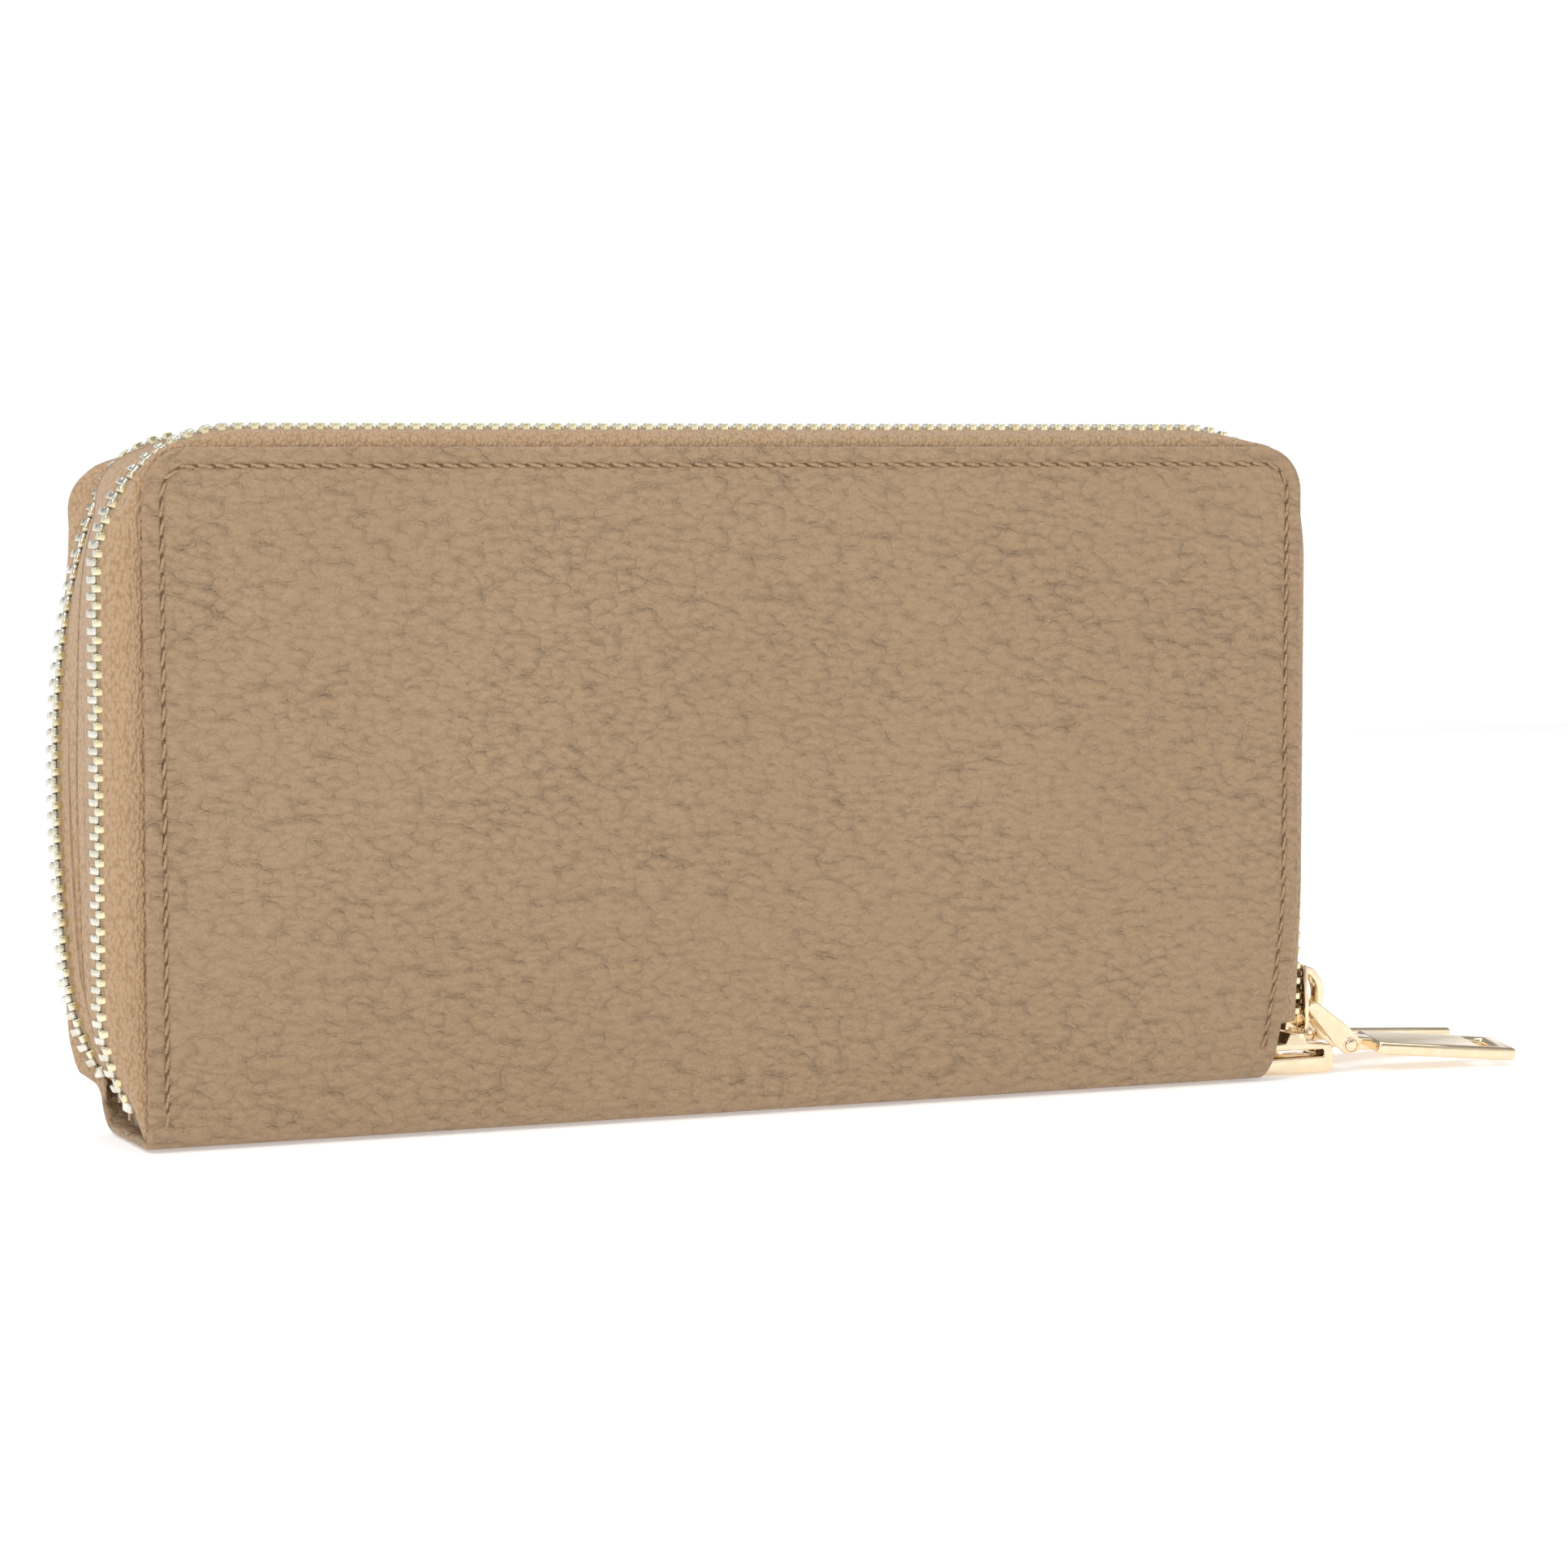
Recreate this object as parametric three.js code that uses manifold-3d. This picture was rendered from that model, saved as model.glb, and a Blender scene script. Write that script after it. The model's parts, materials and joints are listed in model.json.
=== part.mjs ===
// Long zip-around wallet with two zips: a front cover, a rear cover that leans back, and a middle
// part between the two zips. Millimetres. X runs along the wallet, -Y is the front, +Z is up, and
// the origin is the centre of the spine's flat underside.
import * as THREE from 'three';
import { mergeVertices, mergeGeometries } from 'three/addons/utils/BufferGeometryUtils.js';
import Module from 'manifold-3d';

const wasm = await Module();
wasm.setup();

// ---------------------------------------------------------------- driving dimensions
const LENGTH = 200;             // cover length
const HALF = LENGTH / 2;
const HEIGHT = 106.6;           // front cover height above the resting plane
const SPINE_DEPTH = 28;         // front face to rear face at the spine
const LEAN = THREE.MathUtils.degToRad(10);   // how far the rear cover leans back
const FRONT_HINGE_Z = 2;
const REAR_HINGE_Z = 7;         // also the radius of the spine's rear edge
const REAR_HEIGHT = 98;         // rear cover height above its hinge, along the cover
const COVER_R = 7.5;            // cover corner radius
const CORNER_TUCK = 4.5;        // how far a cover's lower corner is drawn in at the slider end
const CORNER_TUCK_HEIGHT = 11;
const CLEAR = 0.3;              // clearance between neighbouring pieces

const LEATHER = 1.2;
const BOARD = 1.0;
const LINING = 0.5;
const PLY_GAP = 0.2;            // glue line between the plies of a cover
const BOARD_INSET = 3.2;
const LINING_INSET = 2.4;

const CHAIN_DEPTH = 8.5;        // chain plane behind the cover's outer face
const CHAIN_OUT_SLIDER = 3.1;   // chain centre beyond the cover's end, at the slider's end
const CHAIN_OUT_TOP = 2.7;      // chain centre above the cover's top
const CHAIN_R = 22;
const TOOTH_THICK = 2.4;
const TOOTH_WIDTH = 1.6;
const CHAIN_GAP = 1.6;          // free width between the two rows, where the slider's post runs
const TAPE = 0.6;

const WALL = 1.0;               // divider thickness
const WALL_DEPTH = 12.7;        // divider's near face behind the cover's outer face
const BAND_DEPTH = 13.9;        // where the middle band starts

// Each chain's run up the end far from the slider. Heights are above the cover's hinge, out is how
// far the chain's centre stands beyond the cover's end. The chain bends out over its tail, then
// falls back by drop before its corner starts.
const FRONT_FAR = { low: 3, lowOut: 0, tail: 17, bend: 2, out: 5.0, cornerLow: 85.3, drop: 0 };
const REAR_FAR = { low: 0.6, lowOut: 1.2, tail: 25.4, bend: 3, out: 6.8, cornerLow: 92.5, drop: 10.2 };
const POCKET_PLY = 0.5;
const SLIDER_LENGTH = 11;

const LEATHER_COLOUR = 0xb2946f;
const LINING_COLOUR = 0xb9a184;
const TAPE_COLOUR = 0xc3a078;
const GOLD_COLOUR = 0xd9b98a;
const TEETH_COLOUR = 0xd8cfae;
const BOARD_COLOUR = 0xa89a86;

const FINISH = {
  leather: { color: LEATHER_COLOUR, roughness: 0.62, metalness: 0 },
  lining: { color: LINING_COLOUR, roughness: 0.85, metalness: 0 },
  tape: { color: TAPE_COLOUR, roughness: 0.9, metalness: 0 },
  teeth: { color: TEETH_COLOUR, roughness: 0.25, metalness: 1 },
  gold: { color: GOLD_COLOUR, roughness: 0.15, metalness: 1 },
  board: { color: BOARD_COLOUR, roughness: 0.9, metalness: 0 },
};

// ---------------------------------------------------------------- small helpers
function named(name, geometry, finish) {
  const mesh = new THREE.Mesh(geometry, new THREE.MeshStandardMaterial(FINISH[finish]));
  mesh.name = name;
  return mesh;
}

function toSolid(geometry) {
  const bare = geometry.clone();
  bare.deleteAttribute('normal');
  bare.deleteAttribute('uv');
  const merged = mergeVertices(bare, 1e-5);
  const vertProperties = new Float32Array(merged.attributes.position.array);
  const triVerts = new Uint32Array(merged.index.array);
  return new wasm.Manifold(new wasm.Mesh({ numProp: 3, vertProperties, triVerts }));
}

function toGeometry(solid) {
  const mesh = solid.getMesh();
  const geometry = new THREE.BufferGeometry();
  geometry.setAttribute('position', new THREE.BufferAttribute(new Float32Array(mesh.vertProperties), 3));
  geometry.setIndex(new THREE.BufferAttribute(new Uint32Array(mesh.triVerts), 1));
  geometry.computeVertexNormals();
  return geometry;
}

function extrude(shape, depth, curveSegments = 8) {
  return new THREE.ExtrudeGeometry(shape, { depth, bevelEnabled: false, curveSegments });
}

// A plate drawn in X and height, standing between two depths behind the cover's outer face.
function uprightPlate(shape, nearDepth, thickness, curveSegments = 8) {
  const geometry = extrude(shape, thickness, curveSegments);
  geometry.rotateX(Math.PI / 2);
  geometry.translate(0, nearDepth + thickness, 0);
  return geometry;
}

// A prism along X, drawn in Y and Z.
function prismAlongX(shape, fromX, toX, curveSegments = 8) {
  const geometry = extrude(shape, toX - fromX, curveSegments);
  geometry.rotateX(Math.PI / 2);
  geometry.rotateZ(Math.PI / 2);
  geometry.translate(fromX, 0, 0);
  return geometry;
}

function rectangle(x0, y0, x1, y1, radius = 0) {
  const shape = new THREE.Shape();
  if (radius === 0) {
    shape.moveTo(x0, y0);
    shape.lineTo(x1, y0);
    shape.lineTo(x1, y1);
    shape.lineTo(x0, y1);
    shape.closePath();
    return shape;
  }
  shape.moveTo(x0 + radius, y0);
  shape.lineTo(x1 - radius, y0);
  shape.absarc(x1 - radius, y0 + radius, radius, -Math.PI / 2, 0, false);
  shape.lineTo(x1, y1 - radius);
  shape.absarc(x1 - radius, y1 - radius, radius, 0, Math.PI / 2, false);
  shape.lineTo(x0 + radius, y1);
  shape.absarc(x0 + radius, y1 - radius, radius, Math.PI / 2, Math.PI, false);
  shape.lineTo(x0, y0 + radius);
  shape.absarc(x0 + radius, y0 + radius, radius, Math.PI, 1.5 * Math.PI, false);
  return shape;
}

// Cover outline in X and height: round top corners, and the lower corner at the slider's end
// drawn in. side is the sign of X at the slider's end.
function coverOutline(top, side, inset, radius) {
  const bottom = CLEAR + inset;
  const edge = HALF - inset;
  const shape = new THREE.Shape();
  shape.moveTo(-side * edge, bottom);
  shape.lineTo(-side * edge, top - inset - radius);
  shape.quadraticCurveTo(-side * edge, top - inset, -side * (edge - radius), top - inset);
  shape.lineTo(side * (edge - radius), top - inset);
  shape.quadraticCurveTo(side * edge, top - inset, side * edge, top - inset - radius);
  shape.lineTo(side * edge, CORNER_TUCK_HEIGHT + inset);
  shape.quadraticCurveTo(side * edge, bottom + 2, side * (edge - CORNER_TUCK), bottom);
  shape.closePath();
  return shape;
}

// ---------------------------------------------------------------- zip path
// How far a chain's centre stands beyond the cover's far end, at a height above the hinge.
function farOut(far, height) {
  const tailTop = far.low + far.tail;
  if (height < tailTop) return far.out - (far.out - far.lowOut) * ((tailTop - height) / far.tail) ** far.bend;
  return far.out - far.drop * ((height - tailTop) / (far.cornerLow - tailTop)) ** 3;
}

// The line that a chain follows round a cover, in X and height: up the far end, over the top and
// down the slider's end. It starts at a height above the far tail's own end.
class ZipPath extends THREE.Curve {
  constructor({ top, side, far, sliderLow, start = 0 }) {
    super();
    const sliderX = HALF + CHAIN_OUT_SLIDER;
    const topV = top + CHAIN_OUT_TOP;
    const points = [];
    const put = (x, v) => points.push(new THREE.Vector3(side * x, 0, v));
    const tailTop = far.low + far.tail;
    const tailSteps = 5;
    for (let i = 0; i < tailSteps; i += 1) {
      const v = THREE.MathUtils.lerp(far.low + start, tailTop, i / tailSteps);
      put(-HALF - farOut(far, v), v);
    }
    const riseSteps = far.drop > 0 ? 6 : 1;
    for (let i = 0; i < riseSteps; i += 1) {
      const v = THREE.MathUtils.lerp(tailTop, far.cornerLow, i / riseSteps);
      put(-HALF - farOut(far, v), v);
    }
    const cornerSteps = 8;
    const turned = Math.atan(3 * far.drop / (far.cornerLow - tailTop));
    const farR = (topV - far.cornerLow) / (1 - Math.sin(turned));
    const farX = HALF + far.out - far.drop;
    for (let i = 0; i <= cornerSteps; i += 1) {
      const a = THREE.MathUtils.lerp(turned, Math.PI / 2, i / cornerSteps);
      put(-farX + farR * (Math.cos(turned) - Math.cos(a)), topV - farR * (1 - Math.sin(a)));
    }
    for (let i = 0; i <= cornerSteps; i += 1) {
      const a = (i / cornerSteps) * (Math.PI / 2);
      put(sliderX - CHAIN_R * (1 - Math.sin(a)), topV - CHAIN_R * (1 - Math.cos(a)));
    }
    put(sliderX, sliderLow);
    this.points = points;
    this.steps = points.length - 1;
    this.side = side;
  }

  getPoint(t, target = new THREE.Vector3()) {
    const at = Math.min(Math.max(t, 0), 1) * this.steps;
    const i = Math.min(Math.floor(at), this.steps - 1);
    return target.lerpVectors(this.points[i], this.points[i + 1], at - i);
  }

  // Steps fall on the path's own points, whatever their spacing.
  getUtoTmapping(u) {
    return u;
  }

  // Points moved towards the wallet's middle by a distance, as a list of Vector2 in X and height.
  offset(distance) {
    return this.points.map((point, i) => {
      const tangent = this.getTangent(i / this.steps);
      const inward = new THREE.Vector2(tangent.z, -tangent.x).multiplyScalar(this.side);
      return new THREE.Vector2(point.x, point.z).addScaledVector(inward, distance);
    });
  }
}

// A strip of constant section along a zip path. The section lists [depth, out] pairs: depth behind
// the cover's outer face, and distance outwards from the chain's line.
function stripAlong(path, section) {
  const shape = new THREE.Shape(section.map(([depth, out]) => (
    new THREE.Vector2(-depth, -path.side * out)
  )));
  const geometry = new THREE.ExtrudeGeometry(shape, {
    steps: path.steps,
    extrudePath: path,
    bevelEnabled: false,
  });
  return geometry;
}

// ---------------------------------------------------------------- one side of the wallet
// Sections of the strips, as [depth, out] pairs.
const ROW_EDGE = CHAIN_GAP / 2 + TOOTH_WIDTH + CLEAR;
const OUTER_TAPE_EDGE = CHAIN_DEPTH - ROW_EDGE;
const INNER_TAPE_EDGE = CHAIN_DEPTH + ROW_EDGE;
const OUTER_TAPE_SECTION = [
  [OUTER_TAPE_EDGE, TAPE / 2], [4.2, -0.6], [3.5, -3.2], [3.5, -7.2],
  [4.1, -7.2], [4.1, -3.4], [4.7, -1.2], [OUTER_TAPE_EDGE, -TAPE / 2],
];
const INNER_TAPE_SECTION = [
  [INNER_TAPE_EDGE, -TAPE / 2], [INNER_TAPE_EDGE, TAPE / 2],
  [WALL_DEPTH + 0.9, TAPE / 2], [WALL_DEPTH + 0.9, -TAPE / 2],
];

function rowSection(nearDepth) {
  const half = TOOTH_THICK / 2;
  const farDepth = nearDepth + TOOTH_WIDTH;
  return [[nearDepth, -half], [nearDepth, half], [farDepth, half], [farDepth, -half]];
}

function coverPlies(prefix, top, side) {
  const boardDepth = LEATHER + PLY_GAP;
  const liningDepth = boardDepth + BOARD + PLY_GAP;
  return [
    named(`${prefix}_cover_leather`,
      uprightPlate(coverOutline(top, side, 0, COVER_R), 0, LEATHER), 'leather'),
    named(`${prefix}_cover_board`,
      uprightPlate(coverOutline(top, side, BOARD_INSET, COVER_R), boardDepth, BOARD), 'board'),
    named(`${prefix}_cover_lining`,
      uprightPlate(coverOutline(top, side, LINING_INSET, COVER_R), liningDepth, LINING), 'lining'),
  ];
}

function zipHalves(prefix, top, side, far, sliderLow) {
  const tapePath = new ZipPath({ top, side, far, sliderLow });
  const rowPath = new ZipPath({ top, side, far, sliderLow, start: 3 });
  const nearRow = CHAIN_DEPTH - CHAIN_GAP / 2 - TOOTH_WIDTH;
  const farRow = CHAIN_DEPTH + CHAIN_GAP / 2;
  return {
    tapePath,
    cover: [
      named(`${prefix}_outer_tape`, stripAlong(tapePath, OUTER_TAPE_SECTION), 'tape'),
      named(`${prefix}_outer_teeth`, stripAlong(rowPath, rowSection(nearRow)), 'teeth'),
    ],
    middle: [
      named(`${prefix}_inner_tape`, stripAlong(tapePath, INNER_TAPE_SECTION), 'tape'),
      named(`${prefix}_inner_teeth`, stripAlong(rowPath, rowSection(farRow)), 'teeth'),
    ],
  };
}

// The staple that closes the chain at its far end, just below the last teeth.
function endStop(prefix, side, far) {
  const height = 2.2;
  const depth = 4.4;
  const geometry = new THREE.BoxGeometry(1.6, depth, height);
  const v = far.low + 1.2;
  geometry.translate(-side * (HALF + farOut(far, v)), CHAIN_DEPTH, v);
  return named(`${prefix}_end_stop`, geometry, 'gold');
}

// The divider fills the zip path's outline, just inside the tape.
function dividerOutline(path, bottom) {
  const inside = path.offset(TAPE / 2 + CLEAR);
  const first = inside[0];
  const last = inside[inside.length - 1];
  const outline = [new THREE.Vector2(first.x, bottom), ...inside, new THREE.Vector2(last.x, bottom)];
  return new THREE.Shape(outline);
}

// A folded end gusset: a V in plan whose crease points into the wallet.
function gusset(prefix, label, xSign, height) {
  const outerX = 97;
  const creaseX = 89;
  const nearDepth = 6.6;
  const farDepth = 12.2;
  const mid = (nearDepth + farDepth) / 2;
  const ply = 0.5;
  const shape = new THREE.Shape([
    new THREE.Vector2(xSign * outerX, nearDepth),
    new THREE.Vector2(xSign * creaseX, mid),
    new THREE.Vector2(xSign * outerX, farDepth),
    new THREE.Vector2(xSign * outerX, farDepth - 2 * ply),
    new THREE.Vector2(xSign * (creaseX + 3 * ply), mid),
    new THREE.Vector2(xSign * outerX, nearDepth + 2 * ply),
  ]);
  const low = 4;
  const geometry = extrude(shape, height - low, 1);
  geometry.translate(0, 0, low);
  return named(`${prefix}_${label}_gusset`, geometry, 'lining');
}

// ---------------------------------------------------------------- middle part
function spineLeather() {
  const front = -SPINE_DEPTH / 2;
  const rear = SPINE_DEPTH / 2;
  const frontR = 1.5;
  const top = FRONT_HINGE_Z - CLEAR;
  const shape = new THREE.Shape();
  shape.moveTo(front, top);
  shape.lineTo(front, frontR);
  shape.quadraticCurveTo(front, 0, front + frontR, 0);
  shape.lineTo(rear - REAR_HINGE_Z, 0);
  shape.absarc(rear - REAR_HINGE_Z, REAR_HINGE_Z, REAR_HINGE_Z, -Math.PI / 2, -0.04, false);
  shape.lineTo(rear - LEATHER, REAR_HINGE_Z - CLEAR);
  shape.absarc(rear - REAR_HINGE_Z, REAR_HINGE_Z, REAR_HINGE_Z - LEATHER, -0.06, -Math.PI / 2, true);
  shape.lineTo(front + frontR, LEATHER);
  shape.lineTo(front + LEATHER, top);
  shape.closePath();
  return prismAlongX(shape, -HALF, HALF - CORNER_TUCK - CLEAR, 6);
}

function spineStay() {
  const rear = SPINE_DEPTH / 2 - REAR_HINGE_Z;
  const shape = rectangle(-SPINE_DEPTH / 2 + 2, LEATHER + PLY_GAP, rear, FRONT_HINGE_Z);
  return prismAlongX(shape, -HALF + 3, HALF - CORNER_TUCK - 3);
}

// The band that joins the two dividers round the ends and over the top. It is as thick at each
// height as the wedge between the dividers.
function middleBand(path, rearFrame) {
  const outer = path.offset(-TAPE / 2);
  const inner = path.offset(TAPE / 2 + CLEAR);
  const lowest = 16;
  const outerUp = outer.filter((point) => point.y > lowest);
  const innerUp = inner.filter((point) => point.y > lowest).reverse();
  const firstX = outer.find((point) => point.y > lowest).x;
  const lastX = outer[outer.length - 1].x;
  const innerFirstX = innerUp[innerUp.length - 1].x;
  const innerLastX = inner[inner.length - 1].x;
  const ring = new THREE.Shape([
    new THREE.Vector2(firstX, lowest),
    ...outerUp,
    new THREE.Vector2(lastX, lowest),
    new THREE.Vector2(innerLastX, lowest),
    ...innerUp,
    new THREE.Vector2(innerFirstX, lowest),
  ]);
  const reach = 30;
  const block = uprightPlate(ring, BAND_DEPTH, reach);
  block.translate(0, -SPINE_DEPTH / 2, FRONT_HINGE_Z);
  const beyond = new THREE.BoxGeometry(3 * LENGTH, 60, 300);
  beyond.translate(0, BAND_DEPTH - 30, 0);
  beyond.applyMatrix4(rearFrame);
  return toGeometry(toSolid(block).subtract(toSolid(beyond)));
}

// ---------------------------------------------------------------- slider, clevis and pull
// Hardware coordinates: x outwards from the chain, y across it, z up from the slider's lower end.
const PLATE_IN = 1.5;
const PLATE_OUT = 2.3;
const PIN_X = 3.75;
const PIN_Z = 3.9;
const PIN_R = 0.55;
const ARM = 9.9;                // pin to rivet
const ARM_NEAR = 2.1;
const ARM_FAR = 3.1;
const RIVET_R = 0.6;
const PULL_THICK = 2.2;
const PULL_WIDTH = 10;
const PULL_ROOT = 4.3;
const PULL_TIP = 32.5;

function wing(x0) {
  const shape = new THREE.Shape([
    new THREE.Vector2(-2.9, 0), new THREE.Vector2(2.9, 0), new THREE.Vector2(3.2, 1.2),
    new THREE.Vector2(3.2, 4.4), new THREE.Vector2(2.5, SLIDER_LENGTH - 0.8),
    new THREE.Vector2(2.0, SLIDER_LENGTH), new THREE.Vector2(-2.0, SLIDER_LENGTH),
    new THREE.Vector2(-2.5, SLIDER_LENGTH - 0.8), new THREE.Vector2(-3.2, 4.4),
    new THREE.Vector2(-3.2, 1.2),
  ]);
  const geometry = extrude(shape, PLATE_OUT - PLATE_IN, 1);
  geometry.rotateX(Math.PI / 2);
  geometry.rotateZ(Math.PI / 2);
  geometry.translate(x0, 0, 0);
  return geometry;
}

// The D-shaped crown on the slider's outer wing.
function crown() {
  const middle = 5.8;
  const bandWidth = 2.6;
  const shape = new THREE.Shape();
  shape.moveTo(PLATE_OUT - 0.2, middle - 4.6);
  shape.absellipse(PLATE_OUT, middle, 3.8, 4.6, -Math.PI / 2, Math.PI / 2, false, 0);
  shape.lineTo(PLATE_OUT - 0.2, middle + 4.6);
  shape.lineTo(PLATE_OUT - 0.2, middle + 3.6);
  shape.lineTo(PLATE_OUT, middle + 3.6);
  shape.absellipse(PLATE_OUT, middle, 2.8, 3.6, Math.PI / 2, -Math.PI / 2, true, 0);
  shape.lineTo(PLATE_OUT - 0.2, middle - 3.6);
  shape.closePath();
  return uprightPlate(shape, -bandWidth / 2, bandWidth, 8);
}

function slider() {
  const post = new THREE.BoxGeometry(2 * PLATE_IN + 0.4, 0.9, 2.4);
  post.translate(0, 0, 1.4);
  const body = toSolid(wing(PLATE_IN)).add(toSolid(wing(-PLATE_OUT))).add(toSolid(post));
  return toGeometry(body.add(toSolid(crown())));
}

function cylinderAlongY(radius, halfWidth, x, z, segments = 16) {
  const geometry = new THREE.CylinderGeometry(radius, radius, 2 * halfWidth, segments);
  geometry.translate(x, 0, z);
  return geometry;
}

// Two cheeks joined by the pin through the crown, drawn with the arm along +x from the pin.
function clevis() {
  const cheekShape = new THREE.Shape();
  cheekShape.moveTo(0, -1.1);
  cheekShape.lineTo(ARM - 2.6, -1.95);
  cheekShape.lineTo(ARM + 0.6, -1.75);
  cheekShape.lineTo(ARM + 2.0, 0.3);
  cheekShape.lineTo(ARM + 0.4, 1.9);
  cheekShape.lineTo(ARM - 2.6, 1.95);
  cheekShape.lineTo(0, 1.1);
  cheekShape.absarc(0, 0, 1.1, Math.PI / 2, 1.5 * Math.PI, false);
  const eye = new THREE.Path();
  eye.absarc(ARM, 0, RIVET_R + 0.1, 0, 2 * Math.PI, true);
  cheekShape.holes.push(eye);
  const near = toSolid(uprightPlate(cheekShape, ARM_NEAR, ARM_FAR - ARM_NEAR, 6));
  const far = toSolid(uprightPlate(cheekShape, -ARM_FAR, ARM_FAR - ARM_NEAR, 6));
  const pin = toSolid(cylinderAlongY(PIN_R, ARM_FAR - 0.1, 0, 0));
  return toGeometry(near.add(far).add(pin));
}

function rivet() {
  const seat = ARM_FAR + 0.1;
  const head = 1.15;
  const dome = 0.5;
  const profile = [
    new THREE.Vector2(0, -seat - dome),
    new THREE.Vector2(head * 0.7, -seat - dome * 0.75),
    new THREE.Vector2(head, -seat),
    new THREE.Vector2(RIVET_R, -seat),
    new THREE.Vector2(RIVET_R, seat),
    new THREE.Vector2(head, seat),
    new THREE.Vector2(head * 0.7, seat + dome * 0.75),
    new THREE.Vector2(0, seat + dome),
  ];
  return new THREE.LatheGeometry(profile, 16);
}

// The pull, drawn from the rivet along +x: a knuckle between the cheeks and a slotted plate.
function pull() {
  const half = PULL_THICK / 2;
  const knuckleShape = new THREE.Shape();
  knuckleShape.moveTo(0, -half);
  knuckleShape.lineTo(PULL_ROOT + 1, -half);
  knuckleShape.lineTo(PULL_ROOT + 1, half);
  knuckleShape.lineTo(0, half);
  knuckleShape.absarc(0, 0, half, Math.PI / 2, 1.5 * Math.PI, false);
  const knuckle = toSolid(uprightPlate(knuckleShape, -1.5, 3, 6));
  const bevel = 0.45;
  const wide = PULL_WIDTH / 2 - bevel;
  const plateShape = rectangle(PULL_ROOT + bevel, -wide, PULL_TIP - bevel, wide, 0.7);
  const slot = rectangle(PULL_TIP - 6.4, -3, PULL_TIP - 3.2, 3, 0.5);
  plateShape.holes.push(new THREE.Path(slot.getPoints(2)));
  const plate = new THREE.ExtrudeGeometry(plateShape, {
    depth: PULL_THICK - 2 * bevel,
    bevelThickness: bevel,
    bevelSize: bevel,
    bevelSegments: 1,
    curveSegments: 2,
  });
  plate.translate(0, 0, -half + bevel);
  const bore = toSolid(cylinderAlongY(RIVET_R + 0.15, 3, 0, 0));
  return toGeometry(knuckle.add(toSolid(plate)).subtract(bore));
}

// Slider, clevis, rivet and pull on one chain. armAngle and pullAngle are measured from the
// horizontal; roll and yaw turn the loose linkage on its pin.
function hardware(prefix, { armAngle, pullAngle, roll, yaw }) {
  const group = new THREE.Group();
  group.add(named(`${prefix}_slider`, slider(), 'gold'));
  const linkage = new THREE.Group();
  linkage.position.set(PIN_X, 0, PIN_Z);
  linkage.rotation.set(roll, 0, yaw);
  const arm = new THREE.Group();
  arm.rotation.y = armAngle;
  arm.add(named(`${prefix}_clevis`, clevis(), 'gold'));
  const rivetMesh = named(`${prefix}_rivet`, rivet(), 'gold');
  rivetMesh.position.x = ARM;
  arm.add(rivetMesh);
  const pullMesh = named(`${prefix}_pull`, pull(), 'gold');
  pullMesh.position.x = ARM;
  pullMesh.rotation.y = pullAngle - armAngle;
  arm.add(pullMesh);
  linkage.add(arm);
  group.add(linkage);
  return group;
}

// The metal clip on a zip's free tail: two jaws round the tape's end, with a collar on top.
function tailClip(prefix, middleY, endX) {
  const startX = HALF - CORNER_TUCK + 0.5;
  const jaw = 2.7;
  const slotTop = 4.1;
  const shape = new THREE.Shape();
  shape.moveTo(startX, 0);
  shape.lineTo(endX - 1, 0);
  shape.quadraticCurveTo(endX, 0, endX, 1);
  shape.lineTo(endX, slotTop - 0.4);
  shape.quadraticCurveTo(endX, slotTop + 0.6, endX - 1.4, slotTop + 0.7);
  shape.lineTo(endX - 5.2, slotTop + 1.1);
  shape.lineTo(endX - 5.8, slotTop + 2.9);
  shape.lineTo(endX - 8.6, slotTop + 2.9);
  shape.lineTo(endX - 9.4, slotTop + 1.2);
  shape.lineTo(startX, slotTop + 1.0);
  shape.lineTo(startX, slotTop);
  shape.lineTo(endX - 1.8, slotTop - 0.2);
  shape.lineTo(endX - 1.8, jaw);
  shape.lineTo(startX, jaw);
  shape.closePath();
  return named(`${prefix}_tail_clip`, uprightPlate(shape, middleY - 3.6, 7.2, 4), 'gold');
}

// ---------------------------------------------------------------- assembly
const wallet = new THREE.Group();

const frontFrame = new THREE.Group();
frontFrame.position.set(0, -SPINE_DEPTH / 2, FRONT_HINGE_Z);
const rearFrame = new THREE.Group();
rearFrame.position.set(0, SPINE_DEPTH / 2, REAR_HINGE_Z);
rearFrame.rotation.set(-LEAN, 0, Math.PI);
rearFrame.updateMatrix();
wallet.add(frontFrame, rearFrame);

const FRONT_TOP = HEIGHT - FRONT_HINGE_Z;
const FRONT_SLIDER_LOW = 5.9;
const REAR_SLIDER_LOW = 1.2;

frontFrame.add(...coverPlies('front', FRONT_TOP, 1));
rearFrame.add(...coverPlies('rear', REAR_HEIGHT, -1));

const frontZip = zipHalves('front', FRONT_TOP, 1, FRONT_FAR, FRONT_SLIDER_LOW);
const rearZip = zipHalves('rear', REAR_HEIGHT, -1, REAR_FAR, REAR_SLIDER_LOW);
frontFrame.add(...frontZip.cover, ...frontZip.middle, endStop('front', 1, FRONT_FAR));
rearFrame.add(...rearZip.cover, ...rearZip.middle, endStop('rear', -1, REAR_FAR));

// Stepped card pockets on the front cover, the longest one lowest in the stack.
const CARD_TOPS = [86, 74, 62, 50];
CARD_TOPS.forEach((top, i) => {
  const near = 3.4 + i * (POCKET_PLY + PLY_GAP);
  const plate = uprightPlate(rectangle(-91, 8, 91, top, 1), near, POCKET_PLY, 2);
  frontFrame.add(named(`front_card_pocket_${i + 1}`, plate, 'leather'));
});
const slipPocket = uprightPlate(rectangle(-91, 6, 91, 62, 1), 3.4, POCKET_PLY, 2);
rearFrame.add(named('rear_slip_pocket', slipPocket, 'leather'));

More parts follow.
